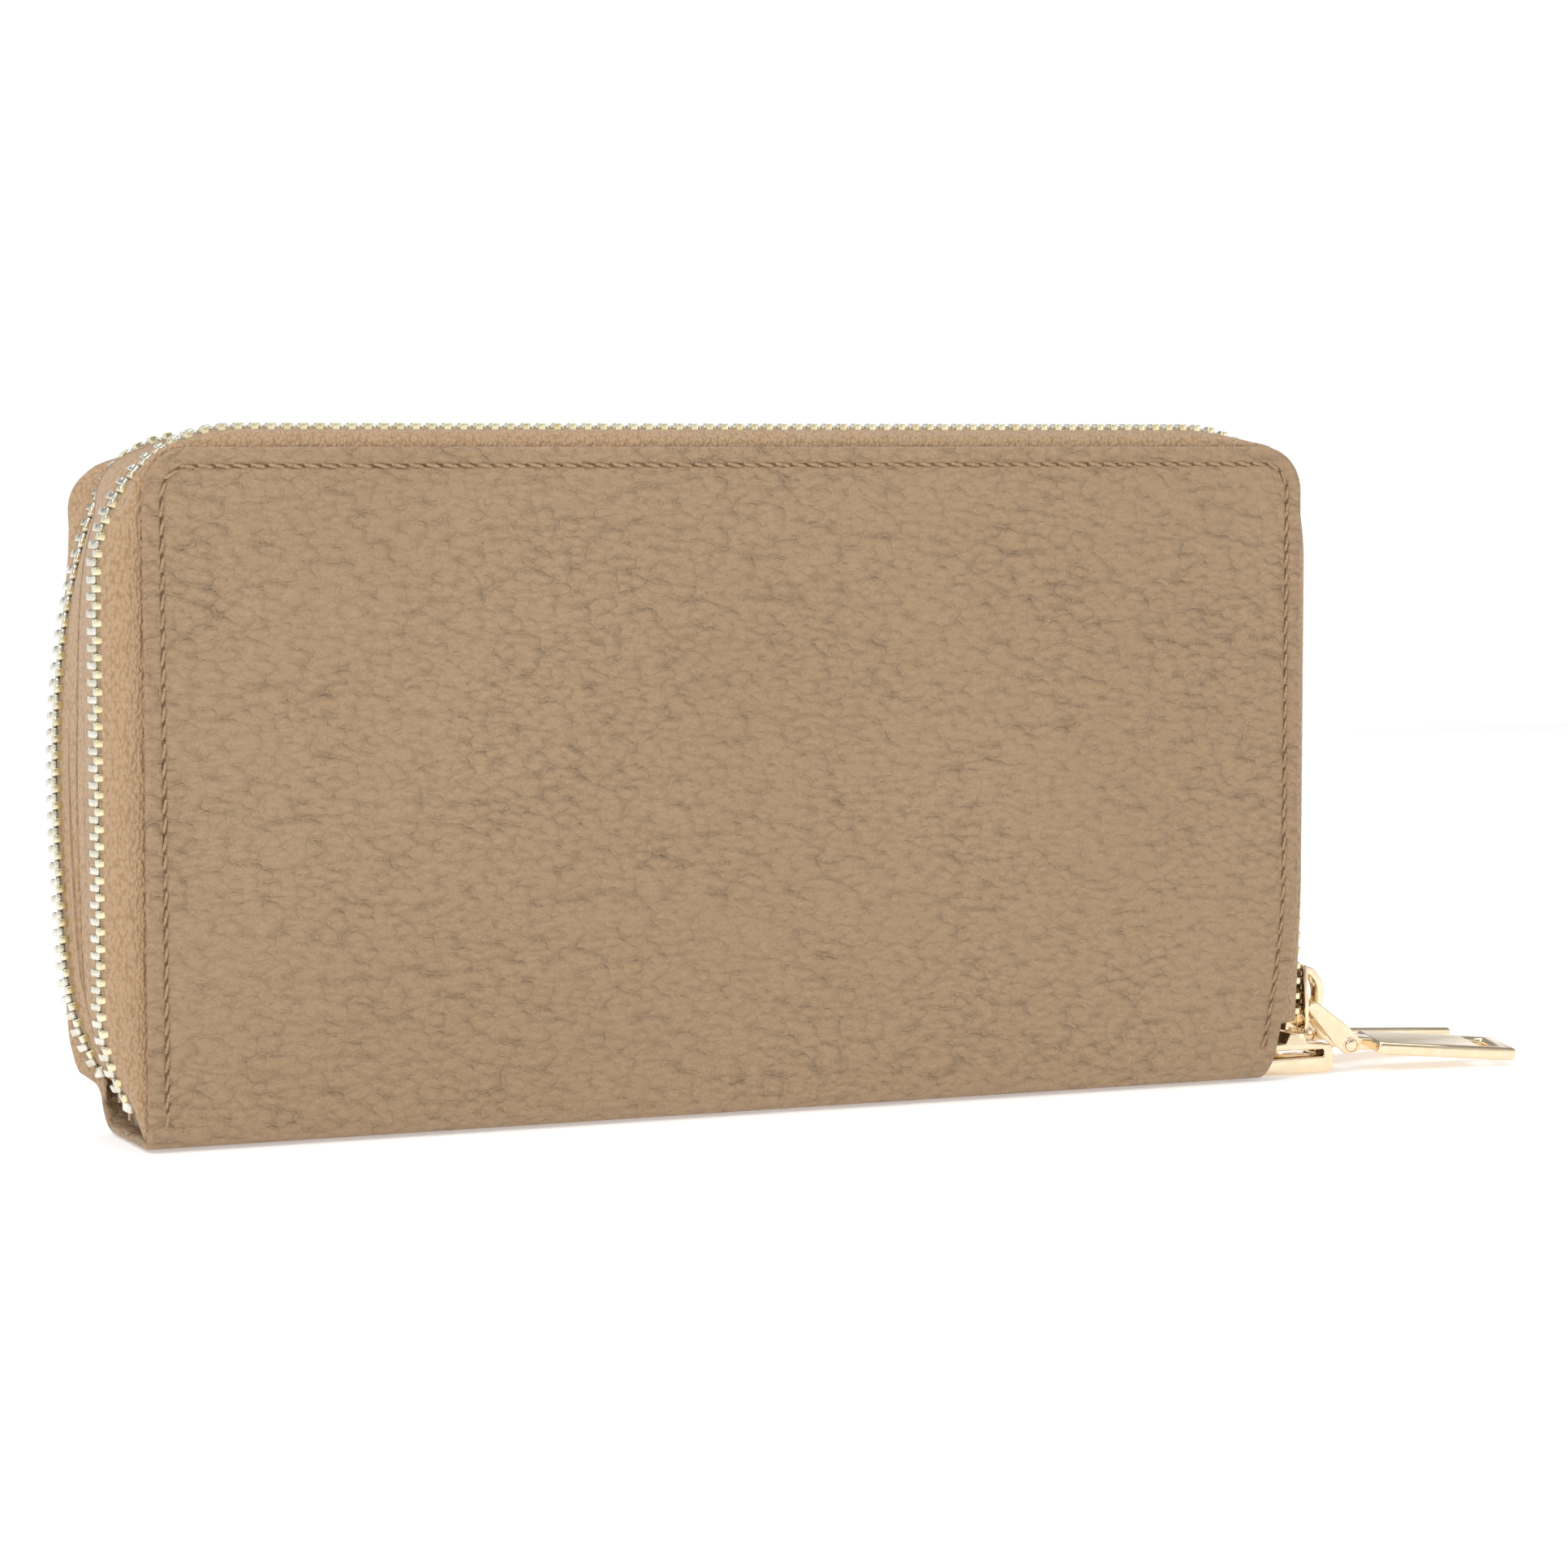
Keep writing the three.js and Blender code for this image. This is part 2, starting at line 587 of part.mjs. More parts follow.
// The front divider has a bound slot into the space between the dividers.
const SLOT = { half: 75, low: 84, high: 92 };
const frontWall = dividerOutline(frontZip.tapePath, 1.2);
const slotHole = rectangle(-SLOT.half, SLOT.low, SLOT.half, SLOT.high, 1);
frontWall.holes.push(new THREE.Path(slotHole.getPoints(2)));
frontFrame.add(named('front_divider', uprightPlate(frontWall, WALL_DEPTH, WALL), 'leather'));
const REAR_WALL_LOW = -3.5;
const rearWall = dividerOutline(rearZip.tapePath, REAR_WALL_LOW);
rearFrame.add(named('rear_divider', uprightPlate(rearWall, WALL_DEPTH, WALL), 'leather'));

const NOTE_POCKET_DEPTH = WALL_DEPTH - CLEAR - POCKET_PLY;
const binding = rectangle(-SLOT.half - 3, SLOT.low - 3, SLOT.half + 3, SLOT.high + 3, 2);
const bindingHole = rectangle(-SLOT.half + 1, SLOT.low + 1, SLOT.half - 1, SLOT.high - 1, 1);
binding.holes.push(new THREE.Path(bindingHole.getPoints(2)));
const bindingPlate = uprightPlate(binding, NOTE_POCKET_DEPTH, POCKET_PLY, 2);
frontFrame.add(named('front_slot_binding', bindingPlate, 'leather'));

for (const [prefix, cover] of [['front', frontFrame], ['rear', rearFrame]]) {
  const plate = uprightPlate(rectangle(-86, 6, 86, 74, 1), NOTE_POCKET_DEPTH, POCKET_PLY, 2);
  cover.add(named(`${prefix}_note_pocket`, plate, 'leather'));
}

// Left and right are as seen from the front.
const GUSSET_TOP = 84;
frontFrame.add(gusset('front', 'left', -1, GUSSET_TOP), gusset('front', 'right', 1, GUSSET_TOP));
rearFrame.add(gusset('rear', 'left', 1, GUSSET_TOP), gusset('rear', 'right', -1, GUSSET_TOP));

wallet.add(named('spine_leather', spineLeather(), 'leather'));
wallet.add(named('spine_stay', spineStay(), 'board'));
wallet.add(named('middle_band', middleBand(frontZip.tapePath, rearFrame.matrix), 'tape'));

// A sliding linkage stands on each chain's straight run at the slider's end.
const degrees = THREE.MathUtils.degToRad;
const frontHardware = hardware('front', {
  armAngle: degrees(42.5), pullAngle: degrees(4.3), roll: degrees(6), yaw: degrees(-6),
});
frontHardware.position.set(HALF + CHAIN_OUT_SLIDER, CHAIN_DEPTH - SPINE_DEPTH / 2, 7.4);
const rearHardware = hardware('rear', {
  armAngle: degrees(60), pullAngle: degrees(2.9), roll: degrees(4), yaw: degrees(8),
});
const rearSliderLow = REAR_SLIDER_LOW - 0.4;
rearHardware.position.set(
  HALF + CHAIN_OUT_SLIDER,
  SPINE_DEPTH / 2 + rearSliderLow * Math.sin(LEAN) - CHAIN_DEPTH * Math.cos(LEAN),
  REAR_HINGE_Z + rearSliderLow * Math.cos(LEAN) + CHAIN_DEPTH * Math.sin(LEAN),
);
rearHardware.rotation.x = -LEAN;
wallet.add(frontHardware, rearHardware);

wallet.add(tailClip('front', CHAIN_DEPTH - SPINE_DEPTH / 2, 110));
wallet.add(tailClip('rear', 6.2, 106));

export default wallet;
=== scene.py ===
"""Looks of a long double-zip wallet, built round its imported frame. Metres, +Z up, -Y the front."""
import json
import math

import bmesh
import bpy
import numpy as np
from mathutils import Matrix, Vector


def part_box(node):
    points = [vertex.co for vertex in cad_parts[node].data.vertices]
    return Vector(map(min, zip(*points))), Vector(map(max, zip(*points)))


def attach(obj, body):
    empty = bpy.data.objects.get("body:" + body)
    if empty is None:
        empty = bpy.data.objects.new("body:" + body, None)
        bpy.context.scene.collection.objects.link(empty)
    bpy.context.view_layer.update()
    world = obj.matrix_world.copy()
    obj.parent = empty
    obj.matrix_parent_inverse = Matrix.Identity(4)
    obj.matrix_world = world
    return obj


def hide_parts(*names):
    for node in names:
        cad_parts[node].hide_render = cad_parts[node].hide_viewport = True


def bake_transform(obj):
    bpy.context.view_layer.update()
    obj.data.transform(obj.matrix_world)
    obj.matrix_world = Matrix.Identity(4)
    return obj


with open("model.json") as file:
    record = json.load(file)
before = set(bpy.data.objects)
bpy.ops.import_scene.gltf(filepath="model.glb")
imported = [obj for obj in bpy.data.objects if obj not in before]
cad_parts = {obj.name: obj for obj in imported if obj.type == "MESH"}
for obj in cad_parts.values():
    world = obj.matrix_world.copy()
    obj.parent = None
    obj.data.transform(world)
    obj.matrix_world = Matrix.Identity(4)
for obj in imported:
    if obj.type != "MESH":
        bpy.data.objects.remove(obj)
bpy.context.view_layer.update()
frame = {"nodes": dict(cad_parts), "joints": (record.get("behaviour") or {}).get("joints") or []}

MM = 0.001
JOINTS = {joint["name"]: joint for joint in frame["joints"]}

# ---------------------------------------------------------------- sizes shared with the frame
COVER_R = 7.5 * MM           # cover corner radius
CORNER_TUCK = 5.0 * MM       # how far the lower corners are drawn in at the slider's end
TUCK_HEIGHT = 34 * MM
CHAIN_R = 22 * MM            # chain corner radius at the slider's end
CHAIN_DEPTH = 8.5 * MM       # chain plane behind a cover's outer face
CHAIN_OUT_SLIDER = 3.1 * MM  # chain centre beyond the cover's end
CHAIN_OUT_TOP = 2.7 * MM
# Far end of each chain, in mm: it bends out over its tail, then falls back by drop before its corner.
# bend is the power of that curve.
FRONT_FAR = {"low": 3, "low_out": 0, "tail": 17, "bend": 2, "out": 5.0, "corner_low": 85.3, "drop": 0}
REAR_FAR = {"low": 0.6, "low_out": 1.2, "tail": 25.4, "bend": 3, "out": 6.8, "corner_low": 92.5, "drop": 10.2}
TOOTH_PITCH = 2.6 * MM
LEATHER = 1.5 * MM           # leather with its turned edge
TAPE_THICK = 0.5 * MM
TAPE_STEP = 1.5 * MM         # rows along a tape
SEAM = 2.9 * MM              # seam line inside the cover's edge
STITCH_PITCH = 2.8 * MM
MID_SPINE = -2 * MM          # where the front and rear skins meet, under the spine

front_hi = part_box("front_cover_leather")[1]
HALF = front_hi.x
HEIGHT = front_hi.z


class Side:
    """One cover's own frame: x along the wallet, u inwards from its outer face, v up from its hinge."""

    def __init__(self, name, inward, top, far, low_slider):
        joint = JOINTS[f"{name}_cover_open"]
        slide = JOINTS[f"{name}_zip_travel"]
        self.name = name
        self.origin = Vector(joint["pos_m"])
        self.v = Vector(slide["axis"]).normalized()
        self.u = Vector((0, self.v.z, -self.v.y)) * inward
        self.top = top
        self.far = {key: value if key == "bend" else value * MM for key, value in far.items()}
        self.low_slider = low_slider

    def place(self, points):
        """Points given as rows of x, u, v, in the row frame."""
        p = np.asarray(points, float)
        out = np.outer(p[:, 0], (1, 0, 0)) + np.outer(p[:, 1], self.u) + np.outer(p[:, 2], self.v)
        return out + np.array(self.origin)


rear_joint_z = JOINTS["rear_cover_open"]["pos_m"][2]
front_side = Side("front", 1, HEIGHT - JOINTS["front_cover_open"]["pos_m"][2], FRONT_FAR, 5.9 * MM)
rear_side = Side("rear", -1, 98 * MM, REAR_FAR, 1.2 * MM)


# ---------------------------------------------------------------- mesh helpers
def new_object(name, verts, faces, smooth=True):
    mesh = bpy.data.meshes.new(name)
    mesh.from_pydata([tuple(v) for v in verts], [], faces)
    mesh.validate()
    obj = bpy.data.objects.new(name, mesh)
    bpy.context.scene.collection.objects.link(obj)
    clean(obj)
    if smooth:
        mesh.polygons.foreach_set("use_smooth", [True] * len(mesh.polygons))
    return obj


def clean(obj):
    bm = bmesh.new()
    bm.from_mesh(obj.data)
    bmesh.ops.remove_doubles(bm, verts=bm.verts, dist=1e-7)
    bmesh.ops.recalc_face_normals(bm, faces=bm.faces)
    bm.to_mesh(obj.data)
    bm.free()


def grid_faces(rows, cols, start=0, closed_cols=False):
    faces = []
    for i in range(rows - 1):
        for j in range(cols if closed_cols else cols - 1):
            k = (j + 1) % cols
            faces.append((start + i * cols + j, start + i * cols + k,
                          start + (i + 1) * cols + k, start + (i + 1) * cols + j))
    return faces


def capped_sweep(name, sections, material, smooth=True):
    """A closed body through a list of equal closed sections (arrays of points)."""
    rows, cols = len(sections), len(sections[0])
    verts = np.concatenate(sections)
    faces = grid_faces(rows, cols, closed_cols=True)
    faces.append(tuple(range(cols)))
    faces.append(tuple((rows - 1) * cols + k for k in reversed(range(cols))))
    obj = new_object(name, verts, faces, smooth)
    obj.data.materials.append(material)
    return obj


def without_repeats(points):
    return [p for k, p in enumerate(points) if math.dist(p, points[k - 1]) > 1e-6]


def bevelled_prism(outline, low, high, bevel, segments=3, holes=()):
    """bmesh of an outline in x and z, standing from y = low to y = high, with rounded edges."""
    bm = bmesh.new()
    edges = []
    for loop in (without_repeats(points) for points in (outline, *holes)):
        verts = [bm.verts.new((x, low, z)) for x, z in loop]
        edges += [bm.edges.new((verts[i], verts[(i + 1) % len(verts)])) for i in range(len(verts))]
    bmesh.ops.triangle_fill(bm, edges=edges, use_beauty=True)
    bmesh.ops.dissolve_limit(bm, angle_limit=0.001, verts=bm.verts, edges=bm.edges)
    made = bmesh.ops.extrude_face_region(bm, geom=list(bm.faces))
    moved = [g for g in made["geom"] if isinstance(g, bmesh.types.BMVert)]
    bmesh.ops.translate(bm, verts=moved, vec=(0, high - low, 0))
    bmesh.ops.recalc_face_normals(bm, faces=bm.faces)
    if bevel > 0:
        rim = [e for e in bm.edges if len(e.link_faces) == 2 and e.calc_face_angle(0) > 0.9]
        bmesh.ops.bevel(bm, geom=rim, offset=bevel, segments=segments, profile=0.5,
                        affect="EDGES", clamp_overlap=True)
    return bm


def from_bmesh(name, bm, material, matrix=None):
    mesh = bpy.data.meshes.new(name)
    if matrix is not None:
        bmesh.ops.transform(bm, matrix=matrix, verts=bm.verts)
    bmesh.ops.recalc_face_normals(bm, faces=bm.faces)
    bm.to_mesh(mesh)
    bm.free()
    obj = bpy.data.objects.new(name, mesh)
    bpy.context.scene.collection.objects.link(obj)
    mesh.materials.append(material)
    mesh.polygons.foreach_set("use_smooth", [True] * len(mesh.polygons))
    mesh.set_sharp_from_angle(angle=math.radians(35))
    return obj


def join_bmesh(parts):
    whole = bmesh.new()
    for part in parts:
        mesh = bpy.data.meshes.new("part")
        part.to_mesh(mesh)
        part.free()
        whole.from_mesh(mesh)
        bpy.data.meshes.remove(mesh)
    return whole


def arc(cx, cz, rx, rz, a0, a1, steps):
    return [(cx + rx * math.cos(a0 + (a1 - a0) * i / steps),
             cz + rz * math.sin(a0 + (a1 - a0) * i / steps)) for i in range(steps + 1)]


def smoothstep(t):
    t = np.clip(t, 0, 1)
    return t * t * (3 - 2 * t)


# ---------------------------------------------------------------- materials
class Nodes:
    """Short spelling for node trees."""

    def __init__(self, name):
        self.material = bpy.data.materials.new(name)
        self.material.use_nodes = True
        self.tree = self.material.node_tree
        self.shader = self.tree.nodes["Principled BSDF"]
        self.place = self.tree.nodes.new("ShaderNodeTexCoord").outputs["Object"]

    def add(self, kind, inputs=None, **settings):
        node = self.tree.nodes.new(kind)
        for key, value in settings.items():
            setattr(node, key, value)
        for key, value in (inputs or {}).items():
            if isinstance(value, bpy.types.NodeSocket):
                self.tree.links.new(value, node.inputs[key])
            else:
                node.inputs[key].default_value = value
        return node

    def math(self, operation, a, b=0.0):
        return self.add("ShaderNodeMath", {0: a, 1: b}, operation=operation).outputs[0]

    def mapped(self, scale):
        return self.add("ShaderNodeMapping", {"Vector": self.place, "Scale": scale}).outputs[0]

    def noise(self, scale, detail=3.0, vector=None):
        inputs = {"Vector": vector or self.place, "Scale": scale, "Detail": detail}
        return self.add("ShaderNodeTexNoise", inputs).outputs["Fac"]

    def ramp(self, fac, stops):
        node = self.add("ShaderNodeValToRGB", {"Fac": fac})
        elements = node.color_ramp.elements
        elements[0].position, elements[0].color = stops[0]
        elements[1].position, elements[1].color = stops[-1]
        for position, colour in stops[1:-1]:
            elements.new(position).color = colour
        return node.outputs["Color"]

    def bump(self, height, strength, distance, normal=None):
        inputs = {"Height": height, "Strength": strength, "Distance": distance}
        if normal is not None:
            inputs["Normal"] = normal
        return self.add("ShaderNodeBump", inputs).outputs["Normal"]

    def set(self, **values):
        for key, value in values.items():
            name = key.replace("_", " ")
            if isinstance(value, bpy.types.NodeSocket):
                self.tree.links.new(value, self.shader.inputs[name])
            else:
                self.shader.inputs[name].default_value = value
        return self.material


def srgb(r, g, b):
    def linear(c):
        c /= 255
        return c / 12.92 if c <= 0.04045 else ((c + 0.055) / 1.055) ** 2.4
    return linear(r), linear(g), linear(b), 1.0


GRAIN_DEPTH = 1.6 * MM       # bump distances: the pebbles, the pores, the yarn
PORE_DEPTH = 0.26 * MM
YARN_DEPTH = 0.42 * MM
PEBBLES_PER_METRE = 400.0


def leather_material(name, base, dark, light, grain=1.0, roughness=0.52):
    """Pebbled leather: wide flat domes from warped cells, wrinkles and pores on them, with painted shade
    darkening the valleys between the domes.
    """
    n = Nodes(name)
    drift = n.add("ShaderNodeTexNoise", {"Vector": n.place, "Scale": 160.0, "Detail": 3.0}).outputs["Color"]
    bent = n.add("ShaderNodeVectorMath", {0: drift, 1: (0.5, 0.5, 0.5)}, operation="SUBTRACT").outputs[0]
    bent = n.add("ShaderNodeVectorMath", {0: bent, "Scale": 0.0016}, operation="SCALE").outputs[0]
    cell_place = n.add("ShaderNodeVectorMath", {0: n.place, 1: bent}, operation="ADD").outputs[0]
    cell_place = n.add("ShaderNodeMapping", {"Vector": cell_place, "Scale": (0.98, 1.0, 1.6)}).outputs[0]
    pebbles = {"Vector": cell_place, "Scale": PEBBLES_PER_METRE, "Smoothness": 0.22}
    cells = n.add("ShaderNodeTexVoronoi", pebbles, feature="SMOOTH_F1").outputs["Distance"]
    valley = n.math("MULTIPLY", cells, cells)
    fine = n.noise(2400.0, 4.0)
    folds = {"Vector": cell_place, "Scale": 1000.0, "Detail": 5.0, "Roughness": 0.6, "Distortion": 1.4}
    wrinkle = n.add("ShaderNodeTexNoise", folds).outputs["Fac"]
    depth = n.math("ADD", n.noise(45.0, 2.0), 0.45)
    height = n.math("MULTIPLY", n.math("MULTIPLY", valley, -1.0), depth)
    height = n.math("ADD", height, n.math("MULTIPLY", wrinkle, 0.2))
    normal = n.bump(height, grain, GRAIN_DEPTH)
    normal = n.bump(fine, 0.6, PORE_DEPTH, normal)
    tone = n.math("ADD", n.math("MULTIPLY", wrinkle, 0.3), n.math("MULTIPLY", fine, 0.4))
    tone = n.math("ADD", tone, n.math("MULTIPLY", n.noise(20.0, 3.0), 0.35))
    # painted shade: the colour darkens in the valleys between the pebbles, on top of their bump
    tone = n.math("SUBTRACT", tone, n.math("MULTIPLY", valley, 0.08))
    colour = n.ramp(tone, [(0.2, dark), (0.5, base), (0.85, light)])
    rough = n.math("ADD", n.math("MULTIPLY", cells, -0.08), roughness)
    return n.set(Base_Color=colour, Roughness=rough, Normal=normal, Specular_IOR_Level=0.42,
                 Sheen_Weight=0.08, Sheen_Roughness=0.5)


def woven_material(name, base, dark, rib=1900.0, across=1050.0, strength=0.6):
    """Woven cloth: short yarns from stretched cells. rib and across are yarns per metre in X and in Z."""
    n = Nodes(name)
    drift = n.add("ShaderNodeTexNoise", {"Vector": n.place, "Scale": 900.0, "Detail": 1.0}).outputs["Color"]
    bent = n.add("ShaderNodeVectorMath", {0: drift, "Scale": 0.0006}, operation="SCALE").outputs[0]
    bent = n.add("ShaderNodeVectorMath", {0: n.place, 1: bent}, operation="ADD").outputs[0]
    laid = n.add("ShaderNodeMapping", {"Vector": bent, "Scale": (rib, 1250.0, across)}).outputs[0]
    yarns = {"Vector": laid, "Scale": 1.0, "Smoothness": 0.22, "Randomness": 0.8}
    yarn = n.add("ShaderNodeTexVoronoi", yarns, feature="SMOOTH_F1").outputs["Distance"]
    weave = n.math("SUBTRACT", 1.0, n.math("MULTIPLY", yarn, 1.5))
    fuzz = n.noise(3200.0, 3.0)
    height = n.math("ADD", weave, n.math("MULTIPLY", fuzz, 0.35))
    normal = n.bump(height, strength, YARN_DEPTH)
    tone = n.math("ADD", n.math("MULTIPLY", weave, 0.7), n.math("MULTIPLY", fuzz, 0.3))
    colour = n.ramp(tone, [(0.05, dark), (0.4, base)])
    return n.set(Base_Color=colour, Roughness=0.88, Normal=normal, Specular_IOR_Level=0.2,
                 Sheen_Weight=0.25, Sheen_Roughness=0.4)


def metal_material(name, base, dark, roughness, wear=0.05):
    """Plated metal with faint brushing and an uneven tone."""
    n = Nodes(name)
    soft = n.noise(420.0, 3.0)
    scratch = n.noise(1500.0, 2.0, n.mapped((1.0, 0.2, 3.0)))
    colour = n.ramp(soft, [(0.25, dark), (0.65, base)])
    rough = n.math("ADD", n.math("MULTIPLY", scratch, wear), roughness)
    normal = n.bump(scratch, 0.05, 0.00003)
    return n.set(Base_Color=colour, Roughness=rough, Normal=normal, Metallic=1.0)


def board_material():
    n = Nodes("pressed_board")
    fibre = n.noise(900.0, 5.0, n.mapped((1.0, 1.0, 0.3)))
    colour = n.ramp(fibre, [(0.3, srgb(132, 116, 94)), (0.7, srgb(176, 160, 136))])
    return n.set(Base_Color=colour, Roughness=0.92, Normal=n.bump(fibre, 0.3, 0.0001))


LEATHER_BASE = srgb(174, 144, 110)
LEATHER_DARK = srgb(162, 132, 99)
LEATHER_LIGHT = srgb(184, 154, 120)
skin_leather = leather_material("pebbled_leather", LEATHER_BASE, LEATHER_DARK, LEATHER_LIGHT)
smooth_leather = leather_material("smooth_leather", srgb(180, 150, 118), srgb(155, 126, 95),
                                  srgb(196, 167, 134), grain=0.45, roughness=0.6)
tape_weave = woven_material("zip_tape", srgb(189, 158, 124), srgb(168, 137, 103), strength=0.75)
lining_weave = woven_material("lining_twill", srgb(196, 168, 134), srgb(166, 138, 108), 1500.0, 1500.0, 0.3)
thread = woven_material("thread", srgb(184, 154, 121), srgb(156, 127, 96), 3000.0, 3000.0, 0.4)
gold = metal_material("champagne_gold", (0.91, 0.76, 0.55, 1), (0.86, 0.68, 0.44, 1), 0.07)
teeth_metal = metal_material("teeth_metal", (0.78, 0.76, 0.68, 1), (0.62, 0.58, 0.44, 1), 0.2, 0.14)
teeth_gold = metal_material("teeth_gold", (0.88, 0.80, 0.54, 1), (0.74, 0.62, 0.36, 1), 0.16, 0.1)
board = board_material()
# painted shade: a dark colour standing for the shade inside the needle holes
needle_hole = woven_material("needle_hole", srgb(128, 101, 74), srgb(98, 75, 52), 3000.0, 3000.0, 0.3)


# ---------------------------------------------------------------- cover outlines and zip paths
def edge_lines():
    """Distances in from a cover's edge at which its grid has a line: dense at the rim and at the seam."""
    rim = [0, 0.08, 0.3, 0.62, 1.1, 1.6, 2.0, 2.35, 2.6, 2.75, 2.9, 3.05, 3.2, 3.45, 3.9, 4.6, 5.6, 6.6, 7.5]
    return [d * MM for d in rim]


def cover_half_width(z_up, sign):
    """Half length of the skin at a height above the resting plane, with the tuck at the slider's end."""
    if sign < 0:
        return HALF
    return HALF - CORNER_TUCK * np.clip((TUCK_HEIGHT - z_up) / TUCK_HEIGHT, 0, 1) ** 1.7


def outline_radius(side, angle_x, angle_v, centre_x, centre_v):
    """Distance from a corner's chain centre to the cover's outline, in the direction given."""
    corner_x, corner_v = HALF - COVER_R, side.top - COVER_R
    ax = abs(angle_x)
    cx = abs(centre_x)
    best = 1.0
    if ax > 1e-6:
        best = min(best, (HALF - cx) / ax)
    if angle_v > 1e-6:
        best = min(best, (side.top - centre_v) / angle_v)
    px, pv = cx + best * ax, centre_v + best * angle_v
    if px > corner_x and pv > corner_v:
        dx, dv = cx - corner_x, centre_v - corner_v
        b = dx * ax + dv * angle_v
        c = dx * dx + dv * dv - COVER_R ** 2
        best = -b + math.sqrt(b * b - c)
    return best


def far_out(far, v):
    """How far the chain's centre stands beyond the far end at a height, and its slope there."""
    tail_top = far["low"] + far["tail"]
    if v < tail_top:
        t = (tail_top - v) / far["tail"]
        return far["out"] - (far["out"] - far["low_out"]) * t ** far["bend"], 0.0
    rise = far["corner_low"] - tail_top
    t = (v - tail_top) / rise
    return far["out"] - far["drop"] * t ** 3, math.atan(3 * far["drop"] * t ** 2 / rise)


def zip_path(side, step):
    """Points round a cover: rows of chain x, chain v, edge x, edge v, outward x, outward v."""
    rows = []
    far = side.far
    slider_x = HALF + CHAIN_OUT_SLIDER
    top_v = side.top + CHAIN_OUT_TOP
    turned = far_out(far, far["corner_low"])[1]
    far_r = (top_v - far["corner_low"]) / (1 - math.sin(turned))
    centre_x = -HALF - far["out"] + far["drop"] + far_r * math.cos(turned)
    centre_v = top_v - far_r
    rho = outline_radius(side, -math.cos(turned), math.sin(turned), centre_x, centre_v)
    edge_rise = centre_v + rho * math.sin(turned) - far["corner_low"]
    tail_top = far["low"] + far["tail"]
    count = int((far["corner_low"] - far["low"]) / step)
    for i in range(count):
        v = far["low"] + (far["corner_low"] - far["low"]) * i / count
        out, a = far_out(far, v)
        t = max(0.0, (v - tail_top) / (far["corner_low"] - tail_top))
        rows.append((-HALF - out, v, -HALF, v + edge_rise * t ** 3, -math.cos(a), math.sin(a)))
    corners = ((centre_x, centre_v, far_r, math.pi - turned, math.pi / 2),
               (slider_x - CHAIN_R, top_v - CHAIN_R, CHAIN_R, math.pi / 2, 0))
    for k, (cx, cv, radius, start, end) in enumerate(corners):
        if k == 1:
            span = cx - centre_x
            steps = int(span / step)
            rows += [(centre_x + span * i / steps, top_v, centre_x + span * i / steps, side.top, 0, 1)
                     for i in range(1, steps)]
        count = int(radius * (start - end) / step)
        for i in range(count + 1):
            a = start + (end - start) * i / count
            ox, ov = math.cos(a), math.sin(a)
            rho = outline_radius(side, ox, ov, cx, cv)
            rows.append((cx + radius * ox, cv + radius * ov, cx + rho * ox, cv + rho * ov, ox, ov))
    low = top_v - CHAIN_R
    count = int((low - side.low_slider) / step)
    for i in range(1, count + 1):
        v = low + (side.low_slider - low) * i / count
        rows.append((slider_x, v, cover_half_width(side.origin.z + v, 1), v, 1, 0))
    return np.array(rows)


def path_at(path, spacing, first, last):
    """Samples a path at even distances along the chain: rows with the same columns, and the tangents."""
    chain = path[:, :2]
    along = np.concatenate([[0], np.cumsum(np.linalg.norm(np.diff(chain, axis=0), axis=1))])
    stops = np.arange(first, along[-1] - last, spacing)
    out = np.column_stack([np.interp(stops, along, path[:, k]) for k in range(path.shape[1])])
    ahead = np.column_stack([np.interp(stops + 0.4 * MM, along, chain[:, k]) for k in range(2)])
    behind = np.column_stack([np.interp(stops - 0.4 * MM, along, chain[:, k]) for k in range(2)])
    tangent = ahead - behind
    tangent /= np.linalg.norm(tangent, axis=1)[:, None]
    return out, tangent


# ---------------------------------------------------------------- leather skins
def skin_profile(side):
    """The skin's run in Y and Z from the cover's top edge down and under the spine: outer points."""
    if side is front_side:
        y0 = side.origin.y
        foot_y, foot_z = 3.6 * MM, 5.2 * MM
        points = [(y0, HEIGHT), (y0, foot_z)]
        steps = 10
        for i in range(1, steps + 1):
            a = (math.pi / 2) * i / steps
            points.append((y0 + foot_y * (1 - math.cos(a)), foot_z * (1 - math.sin(a))))
        points.append((MID_SPINE, 0.0))
        return np.array(points)
    top = side.origin + side.v * side.top
    radius = rear_joint_z
    cy, cz = side.origin.y - radius, radius
    points = [(top.y, top.z), (side.origin.y + side.v.y * 2 * MM, radius + side.v.z * 2 * MM)]
    steps = 14
    lean = math.atan2(side.v.y, side.v.z)
    for i in range(steps + 1):
        a = -lean * 0.3 - (math.pi / 2 - lean * 0.3) * i / steps
        points.append((cy + radius * math.cos(a), cz + radius * math.sin(a)))
    points.append((MID_SPINE, 0.0))
    return np.array(points)


def resample(points, distances):
    along = np.concatenate([[0], np.cumsum(np.linalg.norm(np.diff(points, axis=0), axis=1))])
    distances = np.minimum(distances, along[-1])
    return np.column_stack([np.interp(distances, along, points[:, k]) for k in range(2)]), along[-1]


